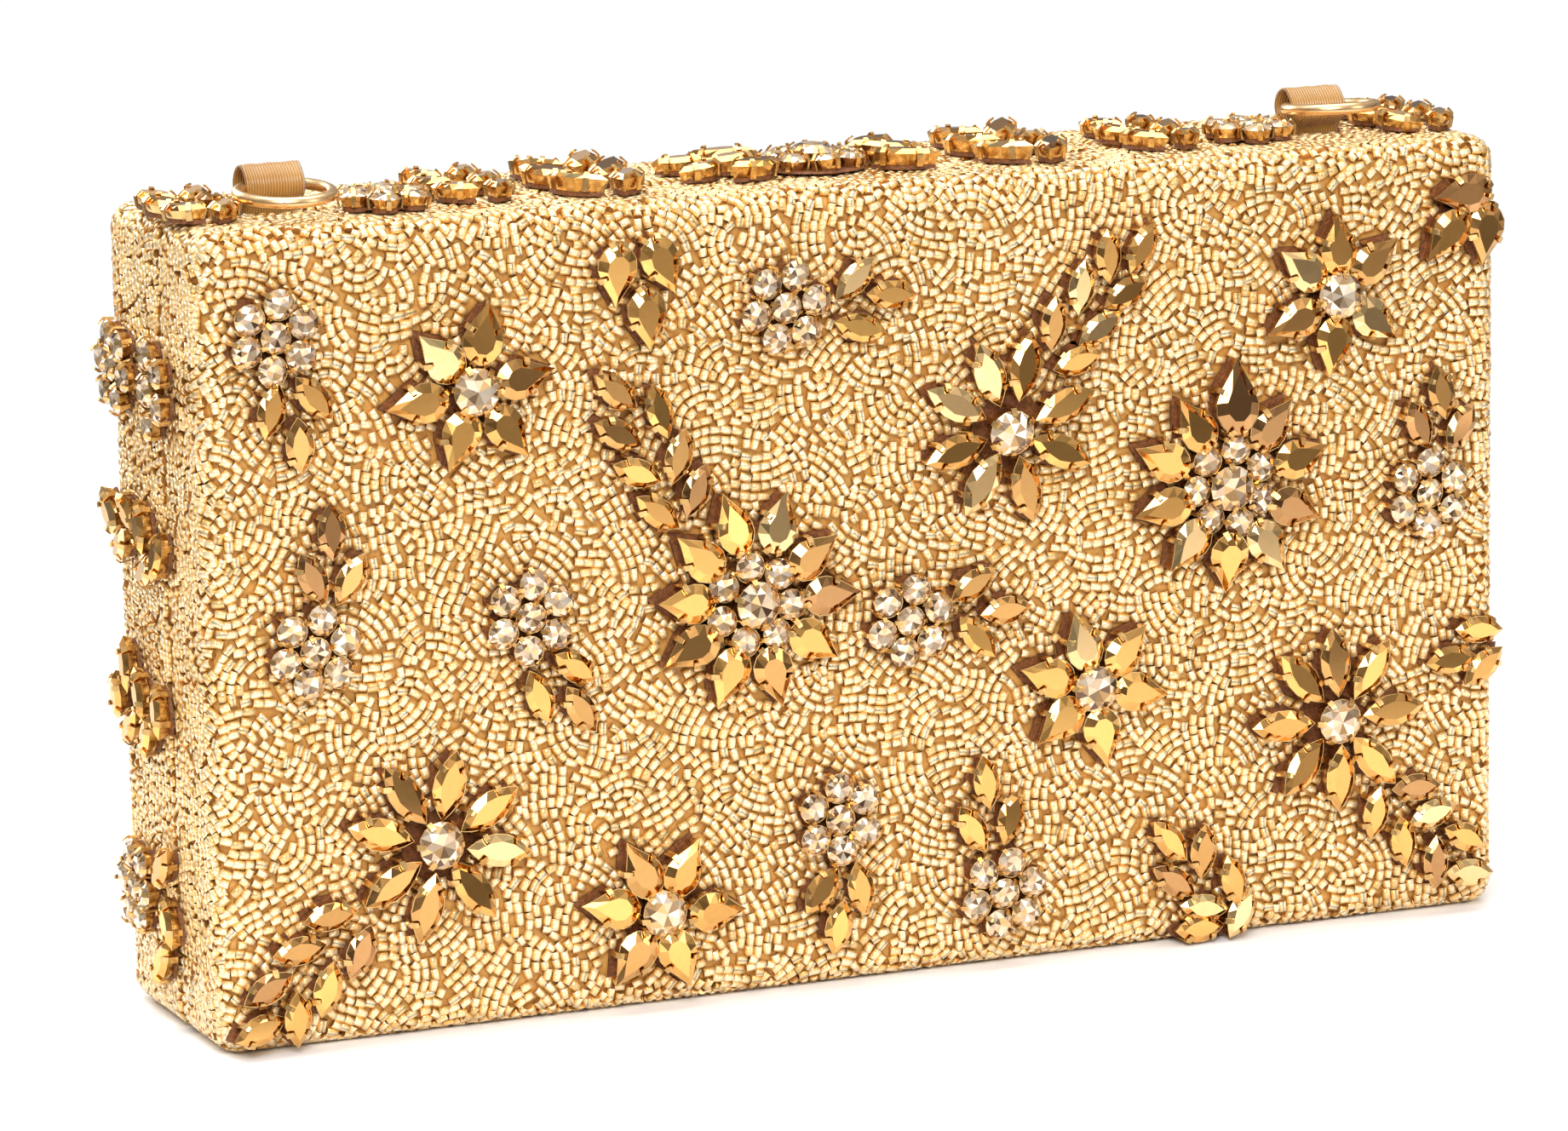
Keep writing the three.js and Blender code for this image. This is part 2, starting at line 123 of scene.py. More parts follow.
def multiplied(nt, one, other):
    mix = node(nt, "ShaderNodeMix", data_type="RGBA", blend_type="MULTIPLY")
    mix.inputs["Factor"].default_value = 1
    nt.links.new(one, mix.inputs[6])
    nt.links.new(other, mix.inputs[7])
    return mix.outputs[2]


def tinted(nt, colour, factor, low, high):
    """colour times a grey that runs from low to high as factor goes from 0 to 1."""
    return multiplied(nt, colour, ramp(nt, factor, [(0.0, (low,) * 3), (1.0, (high,) * 3)]))


def mottled(nt, p, factor, low, high, end=0.7):
    """Runs the base colour from low to high as factor rises."""
    nt.links.new(ramp(nt, factor, [(0.3, low), (end, high)]), p.inputs["Base Color"])


def bump(nt, p, height, strength, distance):
    b = node(nt, "ShaderNodeBump", Strength=strength, Distance=distance)
    nt.links.new(height, b.inputs["Height"])
    nt.links.new(b.outputs[0], p.inputs["Normal"])
    return b


def scaled(nt, factor, low, high, socket):
    m = node(nt, "ShaderNodeMapRange")
    m.inputs["To Min"].default_value = low
    m.inputs["To Max"].default_value = high
    nt.links.new(factor, m.inputs["Value"])
    nt.links.new(m.outputs[0], socket)


def with_tint(name, low, high, **sockets):
    """A material coloured by the mesh's tint, slightly mottled; on beads and stones that tint holds painted
    light as well as colour.
    """
    m, nt, p = material(name, **sockets)
    a = node(nt, "ShaderNodeAttribute", attribute_name="tint")
    nt.links.new(tinted(nt, a.outputs["Color"], noise(nt, 900), low, high), p.inputs["Base Color"])
    return m, nt, p


BEAD, nt, p = with_tint("bead_glass", 0.9, 1.08, Metallic=0.4, Roughness=0.22, IOR=1.5, Coat_Weight=0.2,
                        Coat_Roughness=0.04)
scaled(nt, noise(nt, 700), 0.14, 0.32, p.inputs["Roughness"])

CLOTH, nt, p = material("gold_cloth", Metallic=0.25, Roughness=0.5)
mottled(nt, p, noise(nt, 260), (0.50, 0.24, 0.05), (0.76, 0.42, 0.105), end=0.75)
bump(nt, p, noise(nt, 1500), 0.6, 0.0002)

MIRROR, nt, p = with_tint("gold_mirror_glass", 0.9, 1.06, Metallic=1.0, Roughness=0.05)
scaled(nt, noise(nt, 300), 0.03, 0.12, p.inputs["Roughness"])

CRYSTAL, nt, p = with_tint("crystal", 0.9, 1.04, Metallic=0.7, Roughness=0.07, IOR=1.6, Coat_Weight=0.5,
                           Coat_Roughness=0.02)

CLAW, nt, p = material("gold_setting", Metallic=1.0, Roughness=0.24)
mottled(nt, p, noise(nt, 400), (0.58, 0.35, 0.12), (0.82, 0.55, 0.23))
scaled(nt, noise(nt, 900), 0.16, 0.36, p.inputs["Roughness"])

# brown thread, its darkness partly painted shade under and between the stones
THREAD_AND_SHADE, nt, p = material("brown_thread_and_painted_shade", Metallic=0.1, Roughness=0.6)
mottled(nt, p, noise(nt, 1800), (0.10, 0.032, 0.010), (0.26, 0.09, 0.022))
bump(nt, p, noise(nt, 2500), 0.8, 0.0003)

RING, nt, p = material("satin_gold_plate", Metallic=1.0, Roughness=0.28)
mottled(nt, p, noise(nt, 90), (0.83, 0.53, 0.25), (0.90, 0.62, 0.33), end=0.75)
scaled(nt, noise(nt, 700), 0.22, 0.36, p.inputs["Roughness"])
bump(nt, p, noise(nt, 3000), 0.12, 0.00005)


def ribbed_satin(name, low, high, ribs=0.0, wrinkle=0.35):
    """Satin. It has fine ribs along a ribbon's length where ribs sets how close they are, and soft wrinkles
    otherwise."""
    m, nt, p = material(name, Roughness=0.34, Sheen_Weight=0.35, Sheen_Roughness=0.35,
                        Specular_IOR_Level=0.7, Anisotropic=0.4)
    colour = ramp(nt, noise(nt, 60, stretch=(1, 1, 3)), [(0.3, low), (0.72, high)])
    t = node(nt, "ShaderNodeTexCoord")
    if ribs:
        wave = node(nt, "ShaderNodeTexWave", Scale=ribs, Distortion=0.3, Detail=1.0)
        wave.bands_direction = "X"
        nt.links.new(t.outputs["Object"], wave.inputs["Vector"])
        bump(nt, p, wave.outputs["Fac"], 0.6, 0.0002)
        # the ribs' colour follows their height: darker in the grooves and lighter on the crests, as painted
        # shade and highlight
        nt.links.new(tinted(nt, colour, wave.outputs["Fac"], 0.62, 1.12), p.inputs["Base Color"])
    else:
        nt.links.new(colour, p.inputs["Base Color"])
        b = bump(nt, p, noise(nt, 2600, stretch=(1, 1, 0.25)), 0.25, 0.0001)
        b2 = node(nt, "ShaderNodeBump", Strength=wrinkle, Distance=0.0012)
        nt.links.new(noise(nt, 55, detail=4), b2.inputs["Height"])
        nt.links.new(b2.outputs[0], b.inputs["Normal"])
    return m


RIBBON = ribbed_satin("ribbon_satin", (0.42, 0.20, 0.042), (0.60, 0.33, 0.095), ribs=640.0)
LINING = ribbed_satin("lining_satin", (0.42, 0.22, 0.06), (0.56, 0.31, 0.10))
GUSSET = ribbed_satin("gusset_satin", (0.38, 0.19, 0.05), (0.50, 0.27, 0.08), wrinkle=0.6)

BOARD, nt, p = material("fibreboard", Roughness=0.85)
mottled(nt, p, noise(nt, 900, detail=6), (0.16, 0.10, 0.05), (0.34, 0.23, 0.13))
bump(nt, p, noise(nt, 1600), 0.5, 0.0003)

BRASS, nt, p = material("brushed_brass", Metallic=1.0, Roughness=0.3)
mottled(nt, p, noise(nt, 60, stretch=(1, 12, 12)), (0.55, 0.36, 0.13), (0.74, 0.50, 0.20))
scaled(nt, noise(nt, 300, stretch=(1, 20, 20)), 0.2, 0.42, p.inputs["Roughness"])

STEEL, nt, p = material("nickel_plate", Metallic=1.0, Roughness=0.25)
mottled(nt, p, noise(nt, 200), (0.50, 0.50, 0.52), (0.66, 0.66, 0.67))
scaled(nt, noise(nt, 800), 0.16, 0.36, p.inputs["Roughness"])


def give(obj, mat):
    obj.data.materials.clear()
    obj.data.materials.append(mat)


# ---- mesh helpers
def new_object(name, data):
    o = bpy.data.objects.new(name, data)
    bpy.context.scene.collection.objects.link(o)
    return o


def mesh_object(name, verts, faces, mats, face_mats=None):
    """verts in millimetres. It is shaded smooth, unless its faces have materials of their own."""
    me = bpy.data.meshes.new(name)
    me.from_pydata([tuple(c * MM for c in v) for v in verts], [], faces)
    for m in mats:
        me.materials.append(m)
    if face_mats is not None:
        me.polygons.foreach_set("material_index", face_mats)
    me.polygons.foreach_set("use_smooth", [face_mats is None] * len(faces))
    me.update()
    return new_object(name, me)


def tint_corners(obj, colours):
    a = obj.data.color_attributes.new(name="tint", type="FLOAT_COLOR", domain="CORNER")
    a.data.foreach_set("color", np.asarray(colours, np.float32).ravel())


# ---- the case's outline
def outline(inset):
    """Points of the case's rounded outline seen from the front, set in, with their outward normals."""
    r = max(EDGE_R + 0.8 - inset, 0.9)
    hx, z0, z1 = HALF_W - inset, inset, TOP - inset
    pts = []
    corner = [(hx - r, z0 + r, -90), (hx - r, z1 - r, 0), (-hx + r, z1 - r, 90), (-hx + r, z0 + r, 180)]
    for k, (cx, cz, a0) in enumerate(corner):
        for i in range(9):
            a = math.radians(a0 + 90 * i / 8)
            pts.append((cx + r * math.cos(a), cz + r * math.sin(a), math.cos(a), math.sin(a)))
        nx, nz, b0 = corner[(k + 1) % 4]
        start = pts[-1][:2]
        a = math.radians(a0 + 90)
        end = (nx + r * math.cos(a), nz + r * math.sin(a))
        stops = [j / 8 for j in range(1, 8)]
        if k == 1:   # along the top, with points at both sides of each ribbon's notch
            stops += [(start[0] - x) / (start[0] - end[0]) for at in LOOPS
                      for x in (at - NOTCH - 0.1, at - NOTCH, at + NOTCH, at + NOTCH + 0.1)]
        for f in sorted(stops):
            x, z = (p + f * (q - p) for p, q in zip(start, end))
            pts.append((x, z, math.cos(a), math.sin(a)))
    return pts


def rim_y(side, x, z):
    """Where a tray's wall ends at the seam: set back at the hinge, and at the ribbons' notches."""
    y = EDGE_Y[side]
    if z < RELIEF_TOP:
        y = SEAM_Y + side * RELIEF
    if side > 0 and z > NOTCH_FOOT and min(abs(x - at) for at in LOOPS) < NOTCH + 0.05:
        y = NOTCH_Y
    return y


def tray_shell(name, side, outer, inner, mats, ripple=None):
    """One closed layer of a tray: an outer skin, an inner skin and the rim between them."""
    verts, faces = [], []

    def loop(inset, depth, grow=0.0, scale=1.0):
        """depth None is the rim, otherwise the distance of this loop from the face plane."""
        row = []
        for x, z, nx, nz in outline(inset):
            px, pz = x - grow * nx, z - grow * nz
            if scale != 1.0:
                px, pz = px * scale, TOP / 2 + (pz - TOP / 2) * scale
            y = rim_y(side, px, pz) if depth is None else FACE_Y[side] - side * depth
            row.append(len(verts))
            verts.append([px, y, pz])
        return row

    def skin(inset):
        """Loops from the rim down the wall, round the edge and in over the face."""
        r = max(EDGE_R - inset, 0.8)
        loops = [loop(inset, None)]
        for a in map(math.radians, (0, 22.5, 45, 67.5, 90)):
            loops.append(loop(inset, inset + r * (1 - math.sin(a)), r * (1 - math.cos(a))))
        for scale in (0.9, 0.78, 0.64, 0.5, 0.36, 0.22, 0.1, 0.03):
            loops.append(loop(inset, inset, r, scale))
        return loops

    def bridge(a, b, flip):
        n = len(a)
        for i in range(n):
            j = (i + 1) % n
            q = [a[i], a[j], b[j], b[i]]
            faces.append(q[::-1] if flip else q)

    def cover(loops, flip):
        for a, b in zip(loops, loops[1:]):
            bridge(a, b, flip)
        faces.append(loops[-1][::-1] if flip else loops[-1])

    flip = side > 0
    outside, inside = skin(outer), skin(inner)
    if ripple:
        for row in inside:
            for i in row:
                ripple(verts[i])
    cover(outside, flip)
    cover(inside, not flip)
    bridge(inside[0], outside[0], flip)
    return mesh_object(name, verts, faces, mats)


# ---- stones
# Half length, half width and the table's height above the beadwork, as the solids have them.
KINDS = {
    "n": (4.9, 2.5, 2.9), "N": (6.2, 2.9, 3.3), "p": (5.5, 3.5, 3.4), "P": (6.8, 4.1, 3.8),
    "c": (2.65, 2.65, 2.9), "C": (4.0, 4.0, 4.1),
}


def circle(r, n):
    return [(r * math.cos(2 * math.pi * k / n), r * math.sin(2 * math.pi * k / n)) for k in range(n)]


def around(u, v, r, degrees):
    t = math.radians(degrees)
    return u + r * math.cos(t), v + r * math.sin(t)


def ring_of(u, v, turn, r, count):
    return [("c", *around(u, v, r, turn + 360 * k / count), 0) for k in range(count)]


def rosette(u, v, turn):
    return [("c", u, v, 0)] + ring_of(u, v, turn, 5.5, 6)


def petals(kind, u, v, places):
    return [(kind, *around(u, v, r, a), a) for a, r in places]


def leaves(places, kind="n"):
    return [(kind, u, v, a) for u, v, a in places]


def daisy(u, v, places):
    return [("C", u, v, 0)] + petals("N", u, v, places)


def star(u, v, places):
    return [("C", u, v, 0)] + petals("p", u, v, places)


def bloom(u, v, turn, r, places):
    return [("C", u, v, 0)] + ring_of(u, v, turn, r, 7) + petals("p", u, v, places)


FRONT = [
    rosette(-107.5, 120.6, 22) + leaves([(-108.6, 108.6, 75), (-101.2, 110.2, -50), (-103.7, 102.6, 95)]),
    star(-73, 108.9, [(79, 9.8), (134, 9), (187, 10.4), (249, 8.8), (307, 9.4), (11, 8.8)]),
    leaves([(-47.5, 126.4, -92), (-39.4, 127.4, -65), (-42.3, 118.6, -85)], "p"),
    rosette(-17, 118.6, 10) + leaves([(-4.3, 122.6, 45), (2.2, 119.4, -5), (-3.4, 114, -15)]),
    daisy(24.1, 94.1, [(152, 11.6), (111, 11), (77, 11.2), (20, 10.7), (-25, 10.2), (-76, 10.4), (-122, 10.3),
                       (-165, 10.8)])
    + leaves([(36.9, 105.3, 15), (32.3, 112.1, 88), (41.1, 110.4, 32), (37.7, 117.9, 85), (46.2, 116.2, 28),
              (42.7, 122.9, 95), (49.2, 123.8, 62)]),
    bloom(65.9, 80.7, 28, 6.6, [(121, 13.4), (155, 14.4), (192, 13.2), (229, 12.8), (268, 13), (303, 13.4),
                                (339, 13.2), (17, 14.4), (52, 13.4)]) + [("P", 67, 96.4, 87)],
    star(87.3, 112.6, [(93, 9), (41, 9), (144, 9.3), (203, 9.8), (260, 9), (322, 8.4)]),
    leaves([(111.2, 128.6, 185), (107.9, 121.4, 230), (115.6, 121.2, 262)], "p"),
    rosette(104.7, 76.2, 27) + leaves([(107.3, 93.8, 98), (102.6, 88.6, 115), (110.9, 87.4, 55)]),
    bloom(-23.5, 68.4, -5, 6.6, [(107, 14.6), (72, 14.4), (36, 13.2), (2, 14), (-35, 12.8), (-75, 13),
                                 (-114, 13.2), (-150, 13.6), (174, 13), (138, 13.8)])
    + leaves([(-33.9, 88.9, 68), (-41, 85.8, -38), (-37, 95, 75), (-44.6, 92.9, -22), (-40.4, 102.8, -75),
              (-47.9, 99.6, -28), (-48.2, 106.9, -40)]),
    rosette(-102.1, 67.8, 16) + leaves([(-98.7, 87.6, 90), (-102.2, 80.2, 115), (-95.6, 79.6, 60)]),
    rosette(-64, 70, 24) + leaves([(-56.7, 61, -35), (-62.8, 56.4, -70), (-55.5, 53.6, -58)]),
    daisy(-81.3, 32.9, [(124, 10.9), (79, 10.5), (32, 10.3), (-10, 10.3), (-55, 10), (-104, 10.6),
                        (-148, 10.3), (163, 11)]),
    leaves([(-100.9, 23.1, 6), (-95.7, 16.2, 65), (-106.5, 17.7, 6), (-101.7, 10.6, 75), (-112, 11.8, 30),
            (-107.2, 6.2, 90), (-113.8, 4.8, 18)]),
    star(-41.5, 17, [(117, 8.8), (62, 8.6), (-3, 9.8), (-70, 8.8), (-127, 9.4), (170, 9.8)]),
    rosette(-8.5, 29.6, 33) + leaves([(-12.1, 17.4, 50), (-4.9, 17.2, 98), (-9.1, 10.8, 78)]),
    rosette(22.2, 13.3, 16) + leaves([(18.9, 33.2, 98), (16.2, 25.2, -60), (23.4, 26.4, 70)]),
    rosette(5, 62.8, 18) + leaves([(16.8, 68.1, 30), (22.9, 63.1, 5), (17.6, 58.8, -50)]),
    star(39.6, 47.7, [(106, 8.9), (47, 8.9), (-10, 8.8), (-81, 8.8), (-142, 8.8), (162, 9.6)]),
    daisy(86.8, 37.3, [(133, 10.9), (94, 10.4), (54, 10.6), (4, 10.7), (-48, 10.4), (-90, 10.2), (-132, 10.6),
                       (179, 11)]),
    leaves([(102.2, 23.6, 0), (94.2, 19.9, 80), (105.5, 18.4, 15), (99.6, 14.2, 100), (111.8, 13.6, -25),
            (106.1, 9.6, 88), (112.8, 7, -5)]),
    leaves([(114.6, 51, -5), (109.2, 45.8, 5), (115.6, 44.2, 40)]),
    leaves([(53.8, 19, -50), (60.4, 16.6, 85), (54.6, 11.8, -35), (66, 10.6, 105), (60.4, 6.6, -10),
            (67.4, 4.6, 58), (59.4, 2.7, 0)]),
]
SIDE = [
    rosette(14.6, 111, 10)
    + leaves([(-3.2, 115.6, 0), (-8.6, 113.2, 0), (-2.4, 109.4, 0), (-9, 107.4, 0), (-4, 103.6, 0)], "c"),
    leaves([(18.8, 85.5, 60), (13.2, 81, 140), (9, 87, 40), (2.6, 85.6, 70), (0.4, 78.6, 150),
            (-5.8, 82, 110)]),
    leaves([(12.6, 60.4, 75), (18, 54.4, 110), (6, 56.6, 60), (11.4, 50, 140), (-3.6, 55.4, 70),
            (2.6, 50, 120)]),
    rosette(11.4, 22.4, 5) + leaves([(-2.6, 28.4, 130), (-5.2, 19.6, 60), (-1.4, 11.6, 120)]),
]


def sprig(u, v, kind, k=1.0):
    places = [(-3.7, 9, 118), (3.9, 9.4, 58), (-5, 0.4, 122), (4.4, 0, 55), (-3.9, -8.4, 125),
              (3.6, -9.4, 62)]
    return leaves([(u + k * a, v + k * b, t) for a, b, t in places], kind)


ON_TOP = [
    sprig(-113.4, -2.2, "n", 0.88),
    rosette(-82.2, -10, 12),
    sprig(-65.5, -1, "n"),
    sprig(-44, -2, "N", 1.15),
    [("C", -1.7, -2.5, 0)] + ring_of(-1.7, -2.5, 12, 6.6, 7)
    + petals("N", -1.7, -2.5, [(180, 15.4), (152, 15.6), (208, 15.6), (0, 15.2), (28, 15.6), (-30, 15.6)])
    + leaves([(-24.4, 1.6, 165), (-24.2, -7.4, 200)]),
    sprig(34.5, -2, "N", 1.15),
    sprig(61.8, -1, "n"),
    rosette(79.8, -6, 20),
    sprig(111.2, -1.5, "n"),
]


# Upper half of each outline, as shares of the half length and half width.
LEAF_EDGE = [(1, 0), (0.76, 0.40), (0.5, 0.73), (0.2, 0.95), (-0.2, 0.95), (-0.5, 0.73), (-0.76, 0.40),
             (-1, 0)]
PEAR_EDGE = [(1, 0), (0.72, 0.22), (0.44, 0.50), (0.14, 0.80), (-0.18, 0.98), (-0.5, 0.95), (-0.78, 0.68),
             (-0.95, 0.32), (-1, 0)]
# The table's corners, each with the girdle point that its facets run down to.
LEAF_TABLE = [(0.72, 0, 0), (0.38, 0.40, 2), (0.0, 0.56, 3), (-0.38, 0.40, 5), (-0.72, 0, 7)]
PEAR_TABLE = [(0.62, 0, 0), (0.16, 0.36, 2), (-0.14, 0.55, 4), (-0.44, 0.48, 5), (-0.62, 0.20, 7)]


def mirrored(half, a, b):
    """A closed ring from its upper half."""
    upper = [(a * q[0], b * q[1], *q[2:]) for q in half]
    return upper + [(q[0], -q[1], *q[2:]) for q in reversed(upper) if q[1] > 1e-6]


def girdle(kind):
    """The stone's outline at its widest, in its own plane, tip towards +x."""
    a, b, _ = KINDS[kind]
    if kind in "cC":
        return circle(a, 16)
    return mirrored(PEAR_EDGE if kind in "pP" else LEAF_EDGE, a, b)


def offset(ring, d):
    """The outline grown by d, roughly evenly."""
    out = []
    n = len(ring)
    for i in range(n):
        (x0, y0), (x1, y1) = ring[i - 1], ring[(i + 1) % n]
        tx, ty = x1 - x0, y1 - y0
        t = math.hypot(tx, ty)
        out.append((ring[i][0] + d * ty / t, ring[i][1] - d * tx / t))
    return out


GLASS, SETTING, SHADED_PAD, ROUND_GLASS = range(4)     # a motif's materials, in the order of its slots


def hearts(motifs):
    """The middle of each flower, as (u, v, radius): dark thread shows there as painted shade between the
    petals, and no beads are sewn.
    """
    found = []
    for stones in motifs:
        kind, u, v, _ = stones[0]
        petals_at = [math.hypot(q[1] - u, q[2] - v) for q in stones[1:] if q[0] in "Np"]
        if kind == "C" and petals_at:
            found.append((u, v, 0.62 * min(petals_at)))
        elif kind == "c":
            found.append((u, v, 5.6))
    return found


class Build:
    """Collects one motif's faces."""

    def __init__(self):
        self.verts, self.faces, self.mats, self.tints = [], [], [], []

    def add(self, pts, place, faces, mat, tints=None):
        base = len(self.verts)
        self.verts += [place(q) for q in pts]
        for k, f in enumerate(faces):
            self.faces.append([base + i for i in f])
            self.mats.append(mat)
            self.tints.append(tints[k] if tints else (1, 1, 1))


# Painted reflections and shade on the crystals' facets, from white to near black, each with how often it
# comes up.
CRYSTAL_FACET_REFLECTIONS = [((0.98, 0.84, 0.66), 6), ((0.80, 0.60, 0.39), 8), ((0.58, 0.42, 0.28), 5),
                 ((0.36, 0.22, 0.11), 3), ((0.15, 0.08, 0.04), 2), ((0.82, 0.50, 0.21), 5)]
# The mirror backing of the leaf and pear stones: gold, its spread from pale gold to bronze painted
# reflection.
GOLD_AND_REFLECTION_TINTS = [((0.92, 0.515, 0.155), 6), ((0.82, 0.445, 0.135), 6), ((0.68, 0.37, 0.125), 4),
              ((1.0, 0.68, 0.32), 2), ((0.52, 0.275, 0.11), 2)]


def any_of(tints, rng):
    return rng.choices([c for c, _ in tints], [w for _, w in tints])[0]


# Height of each kind's facets, from the girdle up to the table.
CROWN = {"n": 0.8, "N": 0.8, "p": 0.95, "P": 0.95, "c": 0.85, "C": 1.2}
LEAN = 3.5           # how unevenly the stones sit, in degrees


def prism(n):
    """Side faces between two rings of n points, the second ring's points following the first's."""
    return [(i, (i + 1) % n, n + (i + 1) % n, n + i) for i in range(n)]


def add_stone(build, kind, frame_of, rng, base):
    """One stone in its setting, which starts at height base: below the beads' tops where no bead is sewn
    under it."""
    a, b, top = KINDS[kind]
    ring = girdle(kind)
    n = len(ring)
    waist = top - CROWN[kind]
    lean_x, lean_y = (math.radians(rng.gauss(0, LEAN)) for _ in range(2))

    def leaning(q):
        x, y, z = q
        dz = z - 0.6
        return frame_of((x + dz * lean_y, y - dz * lean_x, z - x * lean_y + y * lean_x))

    # the thread it is sewn down with, made dark as painted shade under the stone, and the cup of its setting
    pad = offset(ring, 0.45 if base < 0 else -0.45)
    crown = base if base < 0 else base + 0.35      # between the beads it stays below their tops
    pts = [(x, y, base - 0.3) for x, y in pad] + [(x * 0.96, y * 0.96, crown) for x, y in pad]
    sides = prism(n)
    build.add(pts, frame_of, sides + [tuple(range(n, 2 * n)), tuple(range(n))[::-1]], SHADED_PAD)
    levels = ((-0.85, base), (0.04, waist + 0.05), (-0.25, waist + 0.05))     # foot, brim and lip of the cup
    pts = [(x, y, z) for out, z in levels for x, y in offset(ring, out)]
    faces = sides + [tuple(n + i for i in f) for f in sides] + [tuple(range(n))[::-1]]
    faces.append(tuple(range(2 * n, 3 * n)))
    build.add(pts, leaning, faces, SETTING)

    # the stone: facets from the girdle up to the table
    if kind in "cC":
        eight = [2 * math.pi * (k + 0.5) / 8 for k in range(8)]
        table = [(0.55 * a * math.cos(t), 0.55 * a * math.sin(t), top) for t in eight]
        between, half_up = [t + math.pi / 8 for t in eight], waist + 0.62 * (top - waist)
        mid = [(0.80 * a * math.cos(t), 0.80 * a * math.sin(t), half_up) for t in between]
        pts = table + mid + [(x, y, waist) for x, y in ring] + [(0, 0, top - 0.25)]
        faces = []
        for k in range(8):
            j = (k + 1) % 8
            e0, e1, e2 = 16 + (2 * k + 1) % 16, 16 + (2 * k + 2) % 16, 16 + (2 * k + 3) % 16
            faces += [(32, k, j), (k, 8 + k, j), (k, 8 + k - 1 if k else 15, e0), (k, e0, 8 + k)]
            faces += [(8 + k, e0, e1), (8 + k, e1, e2)]
        faces.append(tuple(range(16, 32))[::-1])
        # each crystal facet gets one of these painted reflections at random
        build.add(pts, leaning, faces, ROUND_GLASS, tints=[any_of(CRYSTAL_FACET_REFLECTIONS, rng) for _ in faces])
    else:
        half = PEAR_TABLE if kind in "pP" else LEAF_TABLE
        table = mirrored(half, a, b)
        m, h = len(table), len(half)
        foot = [int(q[2]) if k < h else (n - int(q[2])) % n for k, q in enumerate(table)]
        pts = [(x, y, waist) for x, y in ring] + [(x, y, top) for x, y, _ in table]
        faces = [tuple(range(n, n + m)), tuple(range(n))[::-1]]
        for k in range(m):
            j = (k + 1) % m
            last = foot[j] if foot[j] > foot[k] or j else n
            below = [i % n for i in range(foot[k], last + 1)]
            faces.append(tuple(below) + (n + j, n + k))
        # a gold body per stone, and per facet a painted reflection that makes it lighter or darker
        body, shade = any_of(GOLD_AND_REFLECTION_TINTS, rng), [rng.uniform(0.8, 1.15) for _ in faces]
        build.add(pts, leaning, faces, GLASS, tints=[tuple(min(1.0, c * k) for c in body) for k in shade])

    # claws, bent over the stone's edge
    if kind in "cC":
        count = 4 if kind == "c" else 6
        turn = rng.random() * 6.28
        turns = [turn + 2 * math.pi * k / count for k in range(count)]
        at = [(a * math.cos(t), a * math.sin(t), math.cos(t), math.sin(t)) for t in turns]
        wide, reach = (0.38, 0.6) if kind == "c" else (0.5, 0.85)
    else:
        at = []
        picks = (3, 7) if kind in "pP" else (2, 5)
        for i in picks:
            for near in (i, n - i):
                px, py = ring[near]
                gx, gy = offset(ring, 1.0)[near]
                at.append((px, py, gx - px, gy - py))
        wide, reach = 0.5, 0.85
    for x, y, nx, ny in at:
        s = math.hypot(nx, ny)
        nx, ny = nx / s, ny / s
        path = [(-0.1, base + 0.3, 1.1), (0.10, waist - 0.2, 1.0), (0.12, waist + 0.2, 1.0),
                (-reach * 0.5, waist + 0.68, 0.95), (-reach, waist + 0.95, 0.75)]
        pts = []
        for out, z, k in path:
            bent = z > waist + 0.3
            for side in (-1, 1):
                for thick in (0, 0.34):
                    o, w = out + thick * (0.4 if bent else 1), side * wide * k
                    pts.append((x + nx * o - ny * w, y + ny * o + nx * w, z + thick * (0.85 if bent else 0)))
        faces = []
        for i in range(len(path) - 1):
            c, d = 4 * i, 4 * i + 4
            faces += [(c + p, c + q, d + q, d + p) for p, q in ((0, 1), (1, 3), (3, 2), (2, 0))]
        e = 4 * len(path) - 4
        faces += [(0, 2, 3, 1), (e, e + 1, e + 3, e + 2)]
        build.add(pts, leaning, faces, SETTING)


SEAT = 0.35          # the stones' own z = 0 is this far above the beadwork


def place_on(origin, u_axis, v_axis, n_axis):
    """A function that gives the frame of a stone at (u, v), turned by an angle."""

    def at(u, v, angle):
        t = math.radians(angle)
        c, s = math.cos(t), math.sin(t)

        def to_world(q):
            x, y, z = q
            p, r = u + x * c - y * s, v + x * s + y * c
            return [origin[i] + u_axis[i] * p + v_axis[i] * r + n_axis[i] * (z + SEAT) for i in range(3)]

        return to_world

    return at


ON_FRONT = place_on((0, FACE_Y[-1], 0), (1, 0, 0), (0, 0, 1), (0, -1, 0))
ON_LID = place_on((0, 0, TOP), (1, 0, 0), (0, 1, 0), (0, 0, 1))
ON_SIDE = {
    "left": place_on((-HALF_W, 0, 0), (0, -1, 0), (0, 0, 1), (-1, 0, 0)),
    "right": place_on((HALF_W, 0, 0), (0, 1, 0), (0, 0, 1), (1, 0, 0)),
}


def sew_motif(name, cad, stones, at, body, seed, base):
    rng = random.Random(seed)
    build = Build()
    for kind, u, v, angle in stones:
        add_stone(build, kind, at(u, v, angle), rng, base)
    for u, v, r in hearts([stones]):
        # a dark thread disc in the flower's middle, painted shade between the petals
        disc = circle(r, 24)
        pts = [(x, y, base - 0.05) for x, y in disc] + [(x * 0.97, y * 0.97, base + 0.25) for x, y in disc]
        build.add(pts, at(u, v, 0), prism(24) + [tuple(range(24, 48)), tuple(range(24))[::-1]], SHADED_PAD)
    verts = [(x, y, max(z, 0.05)) for x, y, z in build.verts]
    o = mesh_object(name, verts, build.faces, [MIRROR, CLAW, THREAD_AND_SHADE, CRYSTAL], build.mats)
    colours = []
    for f, t in zip(build.faces, build.tints):
        colours += [(*t, 1.0)] * len(f)
    tint_corners(o, colours)
    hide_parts(cad)
    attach(o, body)


